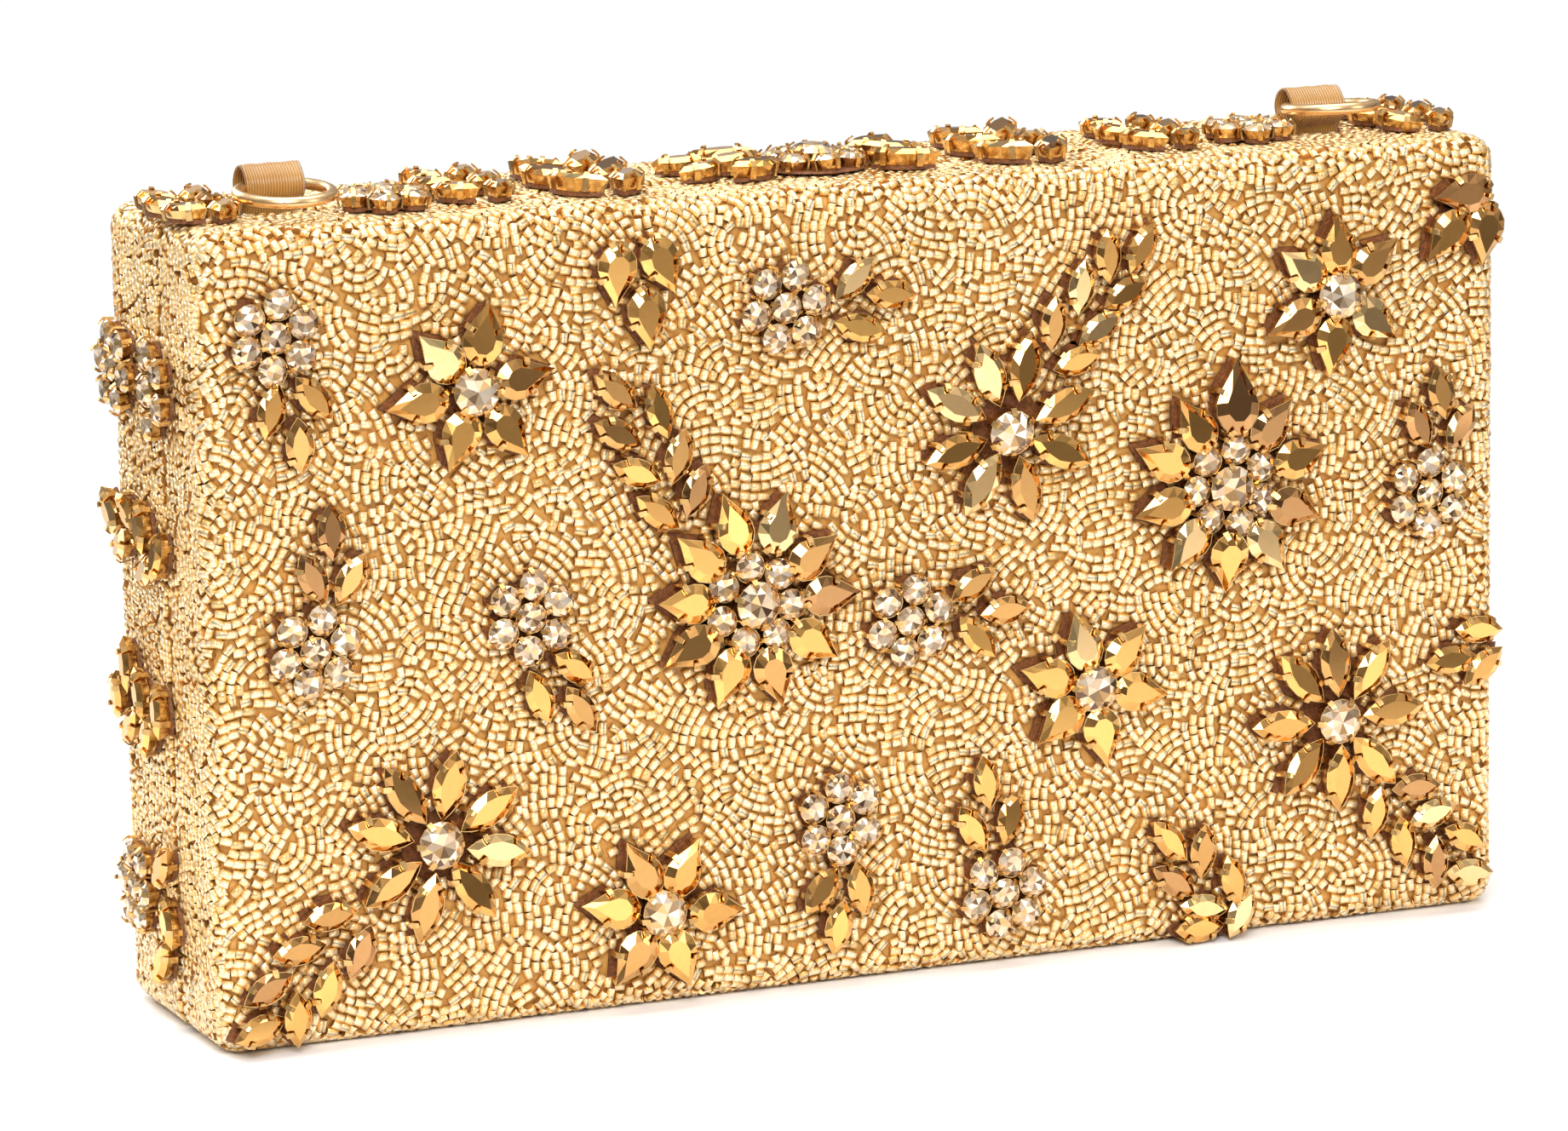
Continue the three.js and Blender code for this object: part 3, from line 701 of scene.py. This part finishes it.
# Where the settings start: sunk between the beads on the front, and just over them on the sides and the top.
SUNK, PROUD = -0.8, 0.1
for i, stones in enumerate(FRONT):
    number = "%02d" % (i + 1)
    sew_motif("front_stones_" + number, "front_motif_" + number, stones, ON_FRONT, "front", 100 + i, SUNK)
for tag, s in (("left", -1), ("right", 1)):
    for i, stones in enumerate(SIDE):
        turned = [(k, s * y, z, a if s > 0 else 180 - a) for k, y, z, a in stones]
        piece, cad = ("%s_%s_%d" % (tag, word, i + 1) for word in ("stones", "motif"))
        sew_motif(piece, cad, turned, ON_SIDE[tag], "back", 200 + i + 10 * s, PROUD)
for i, stones in enumerate(ON_TOP):
    body = "front" if i in (1, 7) else "back"
    sew_motif("top_stones_%d" % (i + 1), "top_motif_%d" % (i + 1), stones, ON_LID, body, 300 + i, PROUD)


# ---- beads
ROW = 1.66           # spacing of the rows
RADIUS = 0.82        # half a bead's width
HEIGHT = 0.62        # half its height
SWIRL = 6.2          # size of a patch of rows that bend together
GAP = 1.33           # the least distance between two beads' middles, side by side
STUB = 1.42          # a bead longer than this keeps its distance at both ends too
CELL = 1.0           # size of the squares that are searched for neighbours
PIECE = 5400         # the most beads in one mesh


def swirls(rng, u0, u1, v0, v1, allowed):
    """Beads sewn in short curved rows that turn this way and that: (u, v, angle, length) for each."""
    nu, nv = max(2, round((u1 - u0) / SWIRL)), max(2, round((v1 - v0) / SWIRL))
    su, sv = (u1 - u0) / nu, (v1 - v0) / nv
    gu, gv = np.meshgrid(np.arange(-1, nu + 1), np.arange(-1, nv + 1), indexing="ij")
    seeds = np.stack([u0 + (gu + 0.5 + rng.uniform(-0.38, 0.38, gu.shape)) * su,
                      v0 + (gv + 0.5 + rng.uniform(-0.38, 0.38, gv.shape)) * sv], -1).reshape(-1, 2)
    n = len(seeds)
    phase = rng.uniform(0, 6.28, 6)
    lean = (1.1 * np.sin(seeds[:, 0] / 17 + phase[0]) + 0.9 * np.sin(seeds[:, 1] / 13 + phase[1])
            + 0.7 * np.sin((seeds[:, 0] + seeds[:, 1]) / 23 + phase[2]) + rng.normal(0, 0.75, n))
    bend = rng.uniform(3.5, 17.0, n) * np.where(rng.random(n) < 0.5, -1, 1)
    wanted = []
    for k in rng.permutation(n):
        c, t, r0 = seeds[k], lean[k], abs(bend[k])
        d = np.array([math.cos(t), math.sin(t)])
        side = np.array([-d[1], d[0]]) * np.sign(bend[k])
        centre = c - side * r0
        base = math.atan2(side[1], side[0])
        rows = []
        for i in range(-7, 8):
            r = r0 + i * ROW
            if r < 1.6:
                continue
            span = min(8.5 / r, 2.9)
            size = rng.choice([1.5, 1.65, 1.8, 1.95, 2.1], 13)
            ends = np.cumsum(size + 0.08)
            along = ends - size / 2 - ends[-1] / 2 + rng.uniform(-0.8, 0.8)
            a = base + along / r
            near = np.abs(along) < span * r
            row = [centre[0] + r * np.cos(a), centre[1] + r * np.sin(a), a + math.pi / 2, size]
            rows.append(np.stack(row, -1)[near])
        pts = np.concatenate(rows)
        near = np.abs(seeds - c).max(1) < 3 * max(su, sv)
        rivals = seeds[near & (np.arange(n) != k)]
        mine = np.hypot(pts[:, 0] - c[0], pts[:, 1] - c[1])
        other = np.hypot(pts[:, None, 0] - rivals[None, :, 0], pts[:, None, 1] - rivals[None, :, 1]).min(1)
        keep = mine < other + rng.uniform(0.2, 2.2)
        pts = pts[keep & allowed(pts[:, 0], pts[:, 1])]
        pts = pts[rng.random(len(pts)) < 0.95]
        pts[:, :2] += rng.normal(0, 0.07, (len(pts), 2))
        pts[:, 2] += rng.normal(0, 0.11, len(pts))
        wanted.append(pts)
    first = np.concatenate(wanted)
    # fillers: single beads dropped into what gaps are left
    fu, fv = np.meshgrid(np.arange(u0, u1, 0.62), np.arange(v0, v1, 0.62), indexing="ij")
    fill = np.stack([fu.ravel(), fv.ravel()], -1) + rng.uniform(-0.3, 0.3, (fu.size, 2))
    fill = fill[allowed(fill[:, 0], fill[:, 1])]
    fill = fill[rng.permutation(len(fill))]
    tree = KDTree(len(first))
    for k, row in enumerate(first.tolist()):
        tree.insert((row[0], row[1], 0), k)
    tree.balance()
    nearest = [tree.find((x, y, 0))[1] for x, y in fill.tolist()]
    extra = []
    for length in (1.8, 1.5, 1.25):
        turns = first[nearest, 2] + rng.normal(0, 0.25, len(fill))
        extra.append(np.column_stack([fill, turns, np.full(len(fill), length)]))
    return thinned(np.concatenate([first] + extra))


def thinned(beads):
    """The beads that don't run into an earlier one."""
    grid, kept, near = {}, [], GAP ** 2
    for u, v, a, length in beads.tolist():
        h = max(0.0, (length - STUB) / 2)
        cu, cv = math.cos(a) * h, math.sin(a) * h
        spots = ((u - cu, v - cv), (u, v), (u + cu, v + cv))
        cells = [(int(pu // CELL), int(pv // CELL)) for pu, pv in spots]
        if any((pu - qu) ** 2 + (pv - qv) ** 2 < near
               for (pu, pv), (i, j) in zip(spots, cells)
               for di in (-1, 0, 1) for dj in (-1, 0, 1)
               for qu, qv in grid.get((i + di, j + dj), ())):
            continue
        kept.append((u, v, a, length))
        for spot, cell in zip(spots, cells):
            grid.setdefault(cell, []).append(spot)
    return np.array(kept)


def clear_of(motifs):
    """True where no stone of this surface covers the beadwork."""
    def test(u, v):
        ok = np.ones(len(u), bool)
        for hu, hv, r in hearts(motifs):
            ok &= np.hypot(u - hu, v - hv) > r
        for kind, su, sv, angle in (q for m in motifs for q in m):
            a, b, _ = KINDS[kind]
            t = math.radians(angle)
            x = (u - su) * math.cos(t) + (v - sv) * math.sin(t)
            y = -(u - su) * math.sin(t) + (v - sv) * math.cos(t)
            if kind in "nN":
                ok &= ~(np.abs(y) < (b - 0.05) * (1 - (x / (a + 0.2)) ** 2))
            else:
                ok &= ((x / (a - 0.05)) ** 2 + (y / (b - 0.05)) ** 2) > 1
        return ok
    return test


def face_point(side):
    """Maps (u, v) of a tray's face, unrolled over its rounded edges, to a point and a normal."""
    def to_world(u, v):
        hu, z0, z1 = HALF_W - EDGE_R, EDGE_R, TOP - EDGE_R
        qu, qv = np.clip(u, -hu, hu), np.clip(v, z0, z1)
        du, dv = u - qu, v - qv
        d = np.hypot(du, dv)
        safe = np.where(d > 1e-9, d, 1)
        phi = d / EDGE_R
        eu, ev = du / safe, dv / safe
        s, c = np.sin(phi), np.cos(phi)
        y = FACE_Y[side] - side * EDGE_R * (1 - c)
        pos = np.stack([qu + eu * EDGE_R * s, y, qv + ev * EDGE_R * s], -1)
        nor = np.stack([eu * s, side * c, ev * s], -1)
        return pos, nor

    return to_world


def wall_point(side):
    """Maps (distance round the outline, distance from the seam) to a point and a normal."""
    edge = EDGE_Y[side]
    flat = abs(FACE_Y[side] - edge) - EDGE_R
    r = EDGE_R
    w, h = 2 * (HALF_W - r), TOP - 2 * r
    arc = math.pi * r / 2
    parts = [w, arc, h, arc, w, arc, h, arc]
    starts = np.concatenate([[0], np.cumsum(parts)])

    def to_world(s, d):
        s = np.mod(s, starts[-1])
        k = np.clip(np.searchsorted(starts, s, side="right") - 1, 0, 7)
        t = s - starts[k]
        x, z, nx, nz = (np.zeros_like(s) for _ in range(4))
        hx = HALF_W - r
        lines = [((-hx, 0), (1, 0), (0, -1)), ((hx + r, r), (0, 1), (1, 0)), ((hx, TOP), (-1, 0), (0, 1)),
                 ((-hx - r, TOP - r), (0, -1), (-1, 0))]
        arcs = [((hx, r), -90), ((hx, TOP - r), 0), ((-hx, TOP - r), 90), ((-hx, r), 180)]
        for i in range(4):
            on = k == 2 * i
            (px, pz), (ax, az), (bx, bz) = lines[i]
            x[on], z[on], nx[on], nz[on] = px + ax * t[on], pz + az * t[on], bx, bz
            on = k == 2 * i + 1
            (cx, cz), a0 = arcs[i]
            a = math.radians(a0) + t[on] / r
            x[on], z[on], nx[on], nz[on] = cx + r * np.cos(a), cz + r * np.sin(a), np.cos(a), np.sin(a)
        phi = np.clip((d - flat) / r, 0, math.pi / 2)
        y = edge + side * np.minimum(d, flat) + side * r * np.sin(phi)
        grow = r * (1 - np.cos(phi))
        pos = np.stack([x - nx * grow, y, z - nz * grow], -1)
        nor = np.stack([nx * np.cos(phi), side * np.sin(phi), nz * np.cos(phi)], -1)
        return pos, nor

    return to_world, starts[-1], flat


# Round each bead: the angle from its side, and how much of the painted highlight along its top and of the
# amber flank shows there; the rest is painted shade underneath.
ROUND = [(90, 1, 0), (66, 1, 0), (56, 0.30, 0.70), (20, 0, 1.0), (-25, 0, 0.6), (-90, 0, 0.2), (-155, 0, 0.6),
         (160, 0, 1.0), (124, 0.30, 0.70), (114, 1, 0)]
SIDES = len(ROUND)
# the pale top is a painted highlight for the silver lining's shine; the flank is the amber glass
PAINTED_HIGHLIGHT, FLANK = np.array([1.0, 0.84, 0.55]), np.array([0.90, 0.53, 0.145])
# the first of these is painted shade under each bead
UNDERSIDE_SHADE, DULL, END_AND_SHADE = np.array([0.52, 0.23, 0.045]), np.array([0.72, 0.50, 0.22]), np.array([0.55, 0.27, 0.07])


def string_beads(name, beads, to_world, body, rng):
    """One mesh piece of short glass tubes, amber at the flanks, with a painted highlight along the top for
    the silver lining's shine, painted shade underneath and ends darkened partly as painted shade."""
    u, v, a, length = beads.T
    pos, nor = to_world(u, v)
    e = 0.05
    ahead, _ = to_world(u + e * np.cos(a), v + e * np.sin(a))
    behind, _ = to_world(u - e * np.cos(a), v - e * np.sin(a))
    axis = ahead - behind
    axis /= np.linalg.norm(axis, axis=1, keepdims=True)
    nor = nor - axis * (nor * axis).sum(1, keepdims=True)
    nor /= np.linalg.norm(nor, axis=1, keepdims=True)
    axis = axis + nor * rng.normal(0, 0.035, (len(u), 1))
    side = np.cross(axis, nor)
    n = len(u)
    r = RADIUS * rng.uniform(0.92, 1.05, n)
    centre = pos - nor * (HEIGHT + rng.uniform(0.0, 0.12, n))[:, None]
    verts = np.zeros((n, 2, SIDES, 3))
    for i, end in enumerate((-0.5, 0.5)):
        for k, (degrees, _, _) in enumerate(ROUND):
            t = math.radians(degrees)
            verts[:, i, k] = (centre + axis * (end * length)[:, None] + side * math.cos(t) * r[:, None]
                              + nor * math.sin(t) * HEIGHT)
    verts[..., 2] = np.maximum(verts[..., 2], 0.03)     # nothing goes through the table
    base = np.arange(n)[:, None] * 2 * SIDES
    quads = np.array([[k, (k + 1) % SIDES, SIDES + (k + 1) % SIDES, SIDES + k] for k in range(SIDES)])
    order = np.concatenate([quads.ravel(), np.arange(SIDES)[::-1], np.arange(SIDES, 2 * SIDES)])
    loops = (base + order).ravel()
    sizes = np.tile([4] * SIDES + [SIDES, SIDES], n)
    me = bpy.data.meshes.new(name)
    me.vertices.add(n * 2 * SIDES)
    me.vertices.foreach_set("co", (verts * MM).astype(np.float32).ravel())
    me.loops.add(len(loops))
    me.loops.foreach_set("vertex_index", loops.astype(np.int32))
    me.polygons.add(len(sizes))
    me.polygons.foreach_set("loop_start", np.concatenate([[0], np.cumsum(sizes)[:-1]]).astype(np.int32))
    me.polygons.foreach_set("loop_total", sizes.astype(np.int32))
    me.polygons.foreach_set("use_smooth", np.tile([True] * SIDES + [False] * 2, n))
    tone = rng.random(n) ** 1.6
    dull = rng.random(n) < 0.06
    # a painted highlight along each bead's top, its tone varied from bead to bead
    painted_highlight = PAINTED_HIGHLIGHT * (1 - 0.28 * tone[:, None] * np.array([0.25, 0.7, 1.4]))
    painted_highlight[dull] = DULL
    flank = FLANK * rng.uniform(0.8, 1.15, (n, 1))
    colour = np.ones((n, 2, SIDES, 4))
    # round each bead: painted highlight on top, amber glass at the flanks, painted shade underneath
    for k, (_, highlight_share, mix_flank) in enumerate(ROUND):
        under = UNDERSIDE_SHADE * (1 - highlight_share - mix_flank)
        colour[:, :, k, :3] = (painted_highlight * highlight_share + flank * mix_flank + under)[:, None]
    bore = rng.random(n) < 0.14      # the unlined bore shows as a darker line in some
    colour[bore, :, 0, :3] *= 0.4
    corner = colour.reshape(n, 2 * SIDES, 4)[:, order]
    # the ends: amber glass, darkened partly as painted shade between neighbouring beads
    corner[:, 4 * SIDES:, :3] = (END_AND_SHADE * rng.uniform(0.5, 1.2, (n, 1)))[:, None]
    me.update()
    attr = me.color_attributes.new(name="tint", type="BYTE_COLOR", domain="CORNER")
    attr.data.foreach_set("color", np.clip(corner, 0, 1).astype(np.float32).ravel())
    me.materials.append(BEAD)
    o = new_object(name, me)
    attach(o, body)


def in_pieces(name, beads, to_world, body, rng):
    count = math.ceil(len(beads) / PIECE)
    beads = beads[np.argsort(beads[:, 0], kind="stable")]
    for k, part in enumerate(np.array_split(beads, count)):
        string_beads("%s_beads_%d" % (name, k + 1), part, to_world, body, rng)
    return len(beads)


REACH = EDGE_R * math.pi / 4     # round an edge, the face's beads and the wall's meet half way
for tag, side in (("front", -1), ("back", 1)):
    rng = np.random.default_rng(11 if side < 0 else 12)
    bare = clear_of(FRONT if side < 0 else [])

    def on_face(u, v):
        du = u - np.clip(u, -HALF_W + EDGE_R, HALF_W - EDGE_R)
        dv = v - np.clip(v, EDGE_R, TOP - EDGE_R)
        return (np.hypot(du, dv) < REACH - 0.2) & bare(u, v)

    extent = HALF_W - EDGE_R + REACH
    beads = swirls(rng, -extent, extent, EDGE_R - REACH, TOP - EDGE_R + REACH, on_face)
    made = in_pieces(tag + "_panel", beads, face_point(side), tag, rng)

    to_world, length, flat = wall_point(side)

    def on_wall(s, d):
        pos, nor = to_world(s, d)
        ok = (d > 0.55) & (d < flat + REACH - 0.1)
        low = pos[:, 2] < RELIEF_TOP + 0.2
        ok &= ~(low & (np.abs(pos[:, 1] - SEAM_Y) < RELIEF + 0.6))
        by_ribbon = np.abs(pos[:, :1] - LOOPS).min(1) < NOTCH + 0.6
        return ok & ~((side > 0) & (nor[:, 2] > 0.7) & by_ribbon & (pos[:, 1] < NOTCH_Y + 0.6))

    beads = swirls(rng, 0, length, 0, flat + REACH, on_wall)
    made += in_pieces(tag + "_wall", beads, to_world, tag, rng)
    print("beads", tag, made)


# ---- cloth, lining, hardware
def cut_for(side, inset):
    wall = abs(FACE_Y[side] - EDGE_Y[side]) - inset
    width, length = 2 * (HALF_W - inset + wall), TOP - 2 * inset + 2 * wall
    return (width * MM, length * MM), (width * length - 4 * wall ** 2) * MM ** 2


for tag, side in (("front", -1), ("back", 1)):
    cloth = tray_shell(tag + "_cloth", side, CLOTH_T, CLOTH_T + 0.5, [CLOTH])
    flat, area = cut_for(side, CLOTH_T)
    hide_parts(tag + "_cover")
    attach(cloth, tag)

    def ripple(q, side=side):
        x, _, z = q
        wave = math.sin(x / 9 + math.sin(z / 7)) * math.sin(z / 11 + 1.3 * math.sin(x / 17))
        q[1] -= side * 0.35 * (wave + 1) * 0.5

    lining = tray_shell(tag + "_satin", side, LINING_IN, LINING_IN + 0.6, [LINING], ripple)
    flat, area = cut_for(side, LINING_IN)
    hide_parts(tag + "_lining")
    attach(lining, tag)

give(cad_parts["hinge_pin"], BRASS)
for tag in ("front", "back"):
    for part, mat in (("board", BOARD), ("hinge_leaf", BRASS), ("magnet_left", STEEL),
                      ("magnet_right", STEEL)):
        give(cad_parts[tag + "_" + part], mat)


def strip(name, rows, mats, thickness):
    """A band of cloth through rows of points, thickened both ways."""
    n = len(rows[0])
    verts = [q for row in rows for q in row]
    corner = [i * n + j for i in range(len(rows) - 1) for j in range(n - 1)]
    faces = [(c, c + 1, c + n + 1, c + n) for c in corner]
    o = mesh_object(name, verts, faces, mats)
    s = o.modifiers.new("thickness", "SOLIDIFY")
    s.thickness = thickness * MM
    s.offset = 0
    depsgraph = bpy.context.evaluated_depsgraph_get()
    solid = bpy.data.meshes.new_from_object(o.evaluated_get(depsgraph))
    o.modifiers.clear()
    o.data = solid
    return o


def spline(points, steps):
    """Points along a smooth curve through the given ones."""
    out = []
    p = [np.array(q, float) for q in points]
    for i in range(len(p) - 1):
        a, b, c, d = p[max(i - 1, 0)], p[i], p[i + 1], p[min(i + 2, len(p) - 1)]
        for k in range(steps):
            t = k / steps
            out.append(0.5 * (2 * b + (c - a) * t + (2 * a - 5 * b + 4 * c - d) * t * t
                              + (3 * b - a - 3 * c + d) * t ** 3))
    out.append(p[-1])
    return out


for tag, s in (("left", -1), ("right", 1)):
    lo, hi = corners(tag + "_ribbon_loop")
    x0, x1 = lo[0], hi[0]
    top = hi[2]
    path = [(-1.7, 133.5), (-1.75, 137.5), (-0.9, 139.3), (0.8, 140.7), (1.4, 142.6), (0.3, 144.6),
            (-2.0, top - 0.4), (-3.8, 144.7), (-5.1, 143.0), (-4.8, 140.9), (-2.9, 139.2), (-2.35, 137.5),
            (-2.3, 133.5)]
    curve = spline(path, 5)
    rows = []
    for k, (y, z) in enumerate(curve):
        f = k / (len(curve) - 1)
        rows.append([(x0 + (x1 - x0) * j / 10, y + 0.10 * math.sin(j * 0.9 + 3 * f * s),
                      z + 0.06 * math.sin(j * 1.7 + s)) for j in range(11)])
    loop = strip(tag + "_ribbon", rows, [RIBBON], 0.42)
    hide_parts(tag + "_ribbon_loop")
    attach(loop, "back")

    lo, hi = corners(tag + "_ring")
    cx, cy, cz = ((lo[i] + hi[i]) / 2 for i in range(3))
    wire = WIRE * 0.985
    big = (hi[0] - lo[0]) / 2 - WIRE
    dip = math.atan2(RING_Z - cz, RING_Y - cy)      # how far its front hangs below level
    along = np.array([0, math.cos(dip), math.sin(dip)])
    across = np.array([0, -math.sin(dip), math.cos(dip)])
    verts, faces = [], []
    n, m = 72, 20
    for i in range(n):
        t = 2 * math.pi * i / n
        for j in range(m):
            q = 2 * math.pi * j / m
            rr = big + wire * math.cos(q)
            p = np.array([cx + rr * math.cos(t), cy, cz]) + along * rr * math.sin(t)
            verts.append(tuple(p + across * wire * math.sin(q)))
            here, ahead, up = i * m, ((i + 1) % n) * m, (j + 1) % m
            faces.append((here + j, ahead + j, ahead + up, here + up))
    ring = mesh_object(tag + "_gold_ring", verts, faces, [RING])
    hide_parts(tag + "_ring")
    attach(ring, tag + "_ring_body")

    # gusset: folded inwards, as when the bag is shut
    lo, hi = corners(tag + "_gusset")
    wall = max(abs(lo[0]), abs(hi[0]))
    far = min(abs(lo[0]), abs(hi[0]))
    reach = wall - far
    z0, z1 = lo[2], hi[2]
    rows = []
    for i in range(29):
        f = i / 28
        z = z0 + (z1 - z0) * f
        deep = 1.5 + (reach - 1.7) * f
        row = []
        for j in range(25):
            q = -1 + 2 * j / 24
            inward = deep * (1 - abs(q)) ** 0.92
            wob = 0.12 * math.sin(3.1 * f * math.pi + 5 * inward / reach)
            row.append((s * (wall - 0.3 - inward), SEAM_Y - 1.95 * q + wob * (1 - abs(q)), z))
        rows.append(row)
    web = strip(tag + "_gusset_satin", rows, [GUSSET], 0.3)
    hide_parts(tag + "_gusset")
    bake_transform(web)

# slip pocket on the back lining, with a turned hem along its mouth
lo, hi = corners("slip_pocket")
rows = []
for i in range(25):
    f = i / 24
    z = lo[2] + (hi[2] - lo[2]) * f
    y = (lo[1] + hi[1]) / 2
    hem = 0.16 if f > 0.94 else 0.0
    slack = [0.12 * f * math.sin(j * 0.7) ** 2 * math.sin(math.pi * j / 36) for j in range(37)]
    rows.append([(lo[0] + (hi[0] - lo[0]) * j / 36, y - hem - slack[j], z) for j in range(37)])
pocket = strip("pocket_satin", rows, [LINING], 0.4)
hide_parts("slip_pocket")
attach(pocket, "back")

# ---- floor, light, camera
floor_mat, nt, p = material("floor", (0.92, 0.92, 0.93), Roughness=0.8)
t = node(nt, "ShaderNodeTexCoord")
far = node(nt, "ShaderNodeVectorMath", operation="LENGTH")
nt.links.new(t.outputs["Object"], far.inputs[0])
edge = node(nt, "ShaderNodeMapRange")
edge.inputs["From Min"].default_value, edge.inputs["From Max"].default_value = 0.25, 0.6
nt.links.new(far.outputs["Value"], edge.inputs["Value"])
clear, both = nt.nodes.new("ShaderNodeBsdfTransparent"), nt.nodes.new("ShaderNodeMixShader")
nt.links.new(edge.outputs[0], both.inputs[0])
nt.links.new(p.outputs[0], both.inputs[1])
nt.links.new(clear.outputs[0], both.inputs[2])
nt.links.new(both.outputs[0], nt.nodes["Material Output"].inputs["Surface"])
bpy.ops.mesh.primitive_plane_add(size=1.4, location=(0, 0, -0.00005))
floor = bpy.context.active_object
floor.name = "floor"
give(floor, floor_mat)

# The room: bright overhead, darker towards the horizon and below, white where nothing stands in the view.
world = bpy.data.worlds.new("studio")
bpy.context.scene.world = world
world.use_nodes = True
nt = world.node_tree
nt.nodes.clear()
out = nt.nodes.new("ShaderNodeOutputWorld")
t = node(nt, "ShaderNodeTexCoord")
xyz = node(nt, "ShaderNodeSeparateXYZ")
nt.links.new(t.outputs["Generated"], xyz.inputs[0])
height = node(nt, "ShaderNodeMapRange")
height.inputs["From Min"].default_value, height.inputs["From Max"].default_value = -1, 1
nt.links.new(xyz.outputs["Z"], height.inputs["Value"])
sky = ramp(nt, height.outputs[0], [(0.0, (0.25, 0.25, 0.25)), (0.40, (0.22, 0.21, 0.20)),
                                   (0.55, (0.19, 0.185, 0.18)), (0.7, (0.32, 0.31, 0.30)),
                                   (0.9, (0.45, 0.44, 0.43))])
# things about the room that the stones mirror: some darker than the walls, some brighter
clutter = ramp(nt, noise(nt, 4.5, detail=2, coords="Generated"),
               [(0.36, (0.78, 0.76, 0.74)), (0.5, (1.05, 1.02, 1.0)), (0.64, (3.0, 2.9, 2.8))])
light = node(nt, "ShaderNodeBackground", Strength=1.0)
nt.links.new(multiplied(nt, sky, clutter), light.inputs["Color"])
seen = node(nt, "ShaderNodeBackground", Strength=1.0)
seen.inputs["Color"].default_value = (1, 1, 1, 1)
path = node(nt, "ShaderNodeLightPath")
mixer = node(nt, "ShaderNodeMixShader")
nt.links.new(path.outputs["Is Camera Ray"], mixer.inputs[0])
nt.links.new(light.outputs[0], mixer.inputs[1])
nt.links.new(seen.outputs[0], mixer.inputs[2])
nt.links.new(mixer.outputs[0], out.inputs["Surface"])


def area_light(name, place, target, size, power):
    data = bpy.data.lights.new(name, "AREA")
    data.shape = "RECTANGLE"
    data.size, data.size_y = size
    data.energy = power
    o = new_object(name, data)
    o.location = place
    o.rotation_euler = (Vector(target) - Vector(place)).to_track_quat("-Z", "Y").to_euler()


area_light("key", (-0.48, -1.1, 0.9), (-0.02, 0, 0.08), (0.7, 0.7), 17)
area_light("fill", (0.9, -1.0, 0.45), (0, 0, 0.07), (0.5, 0.8), 3)
area_light("over", (0.0, 0.1, 1.1), (0, 0, 0.07), (1.2, 0.7), 11)
area_light("behind", (-0.4, 1.1, 0.6), (0, 0, 0.07), (0.8, 0.6), 8)

camera = new_object("camera", bpy.data.cameras.new("camera"))
camera.data.lens, camera.data.sensor_width = 166.69, 36.0
az, el, roll = (math.radians(d) for d in (-23.003, 11.169, -0.935))
back = Vector((math.sin(az) * math.cos(el), -math.cos(az) * math.cos(el), math.sin(el)))
right = Vector((0, 0, 1)).cross(back).normalized()
up = back.cross(right)
turn = Matrix((right, up, back)).transposed() @ Matrix.Rotation(roll, 3, "Z")
place = Vector((-0.007045, 0, 0.06896)) + back * 1.2538
camera.matrix_world = Matrix.Translation(place) @ turn.to_4x4()
bpy.context.scene.camera = camera
bpy.context.scene.view_settings.view_transform = "Standard"
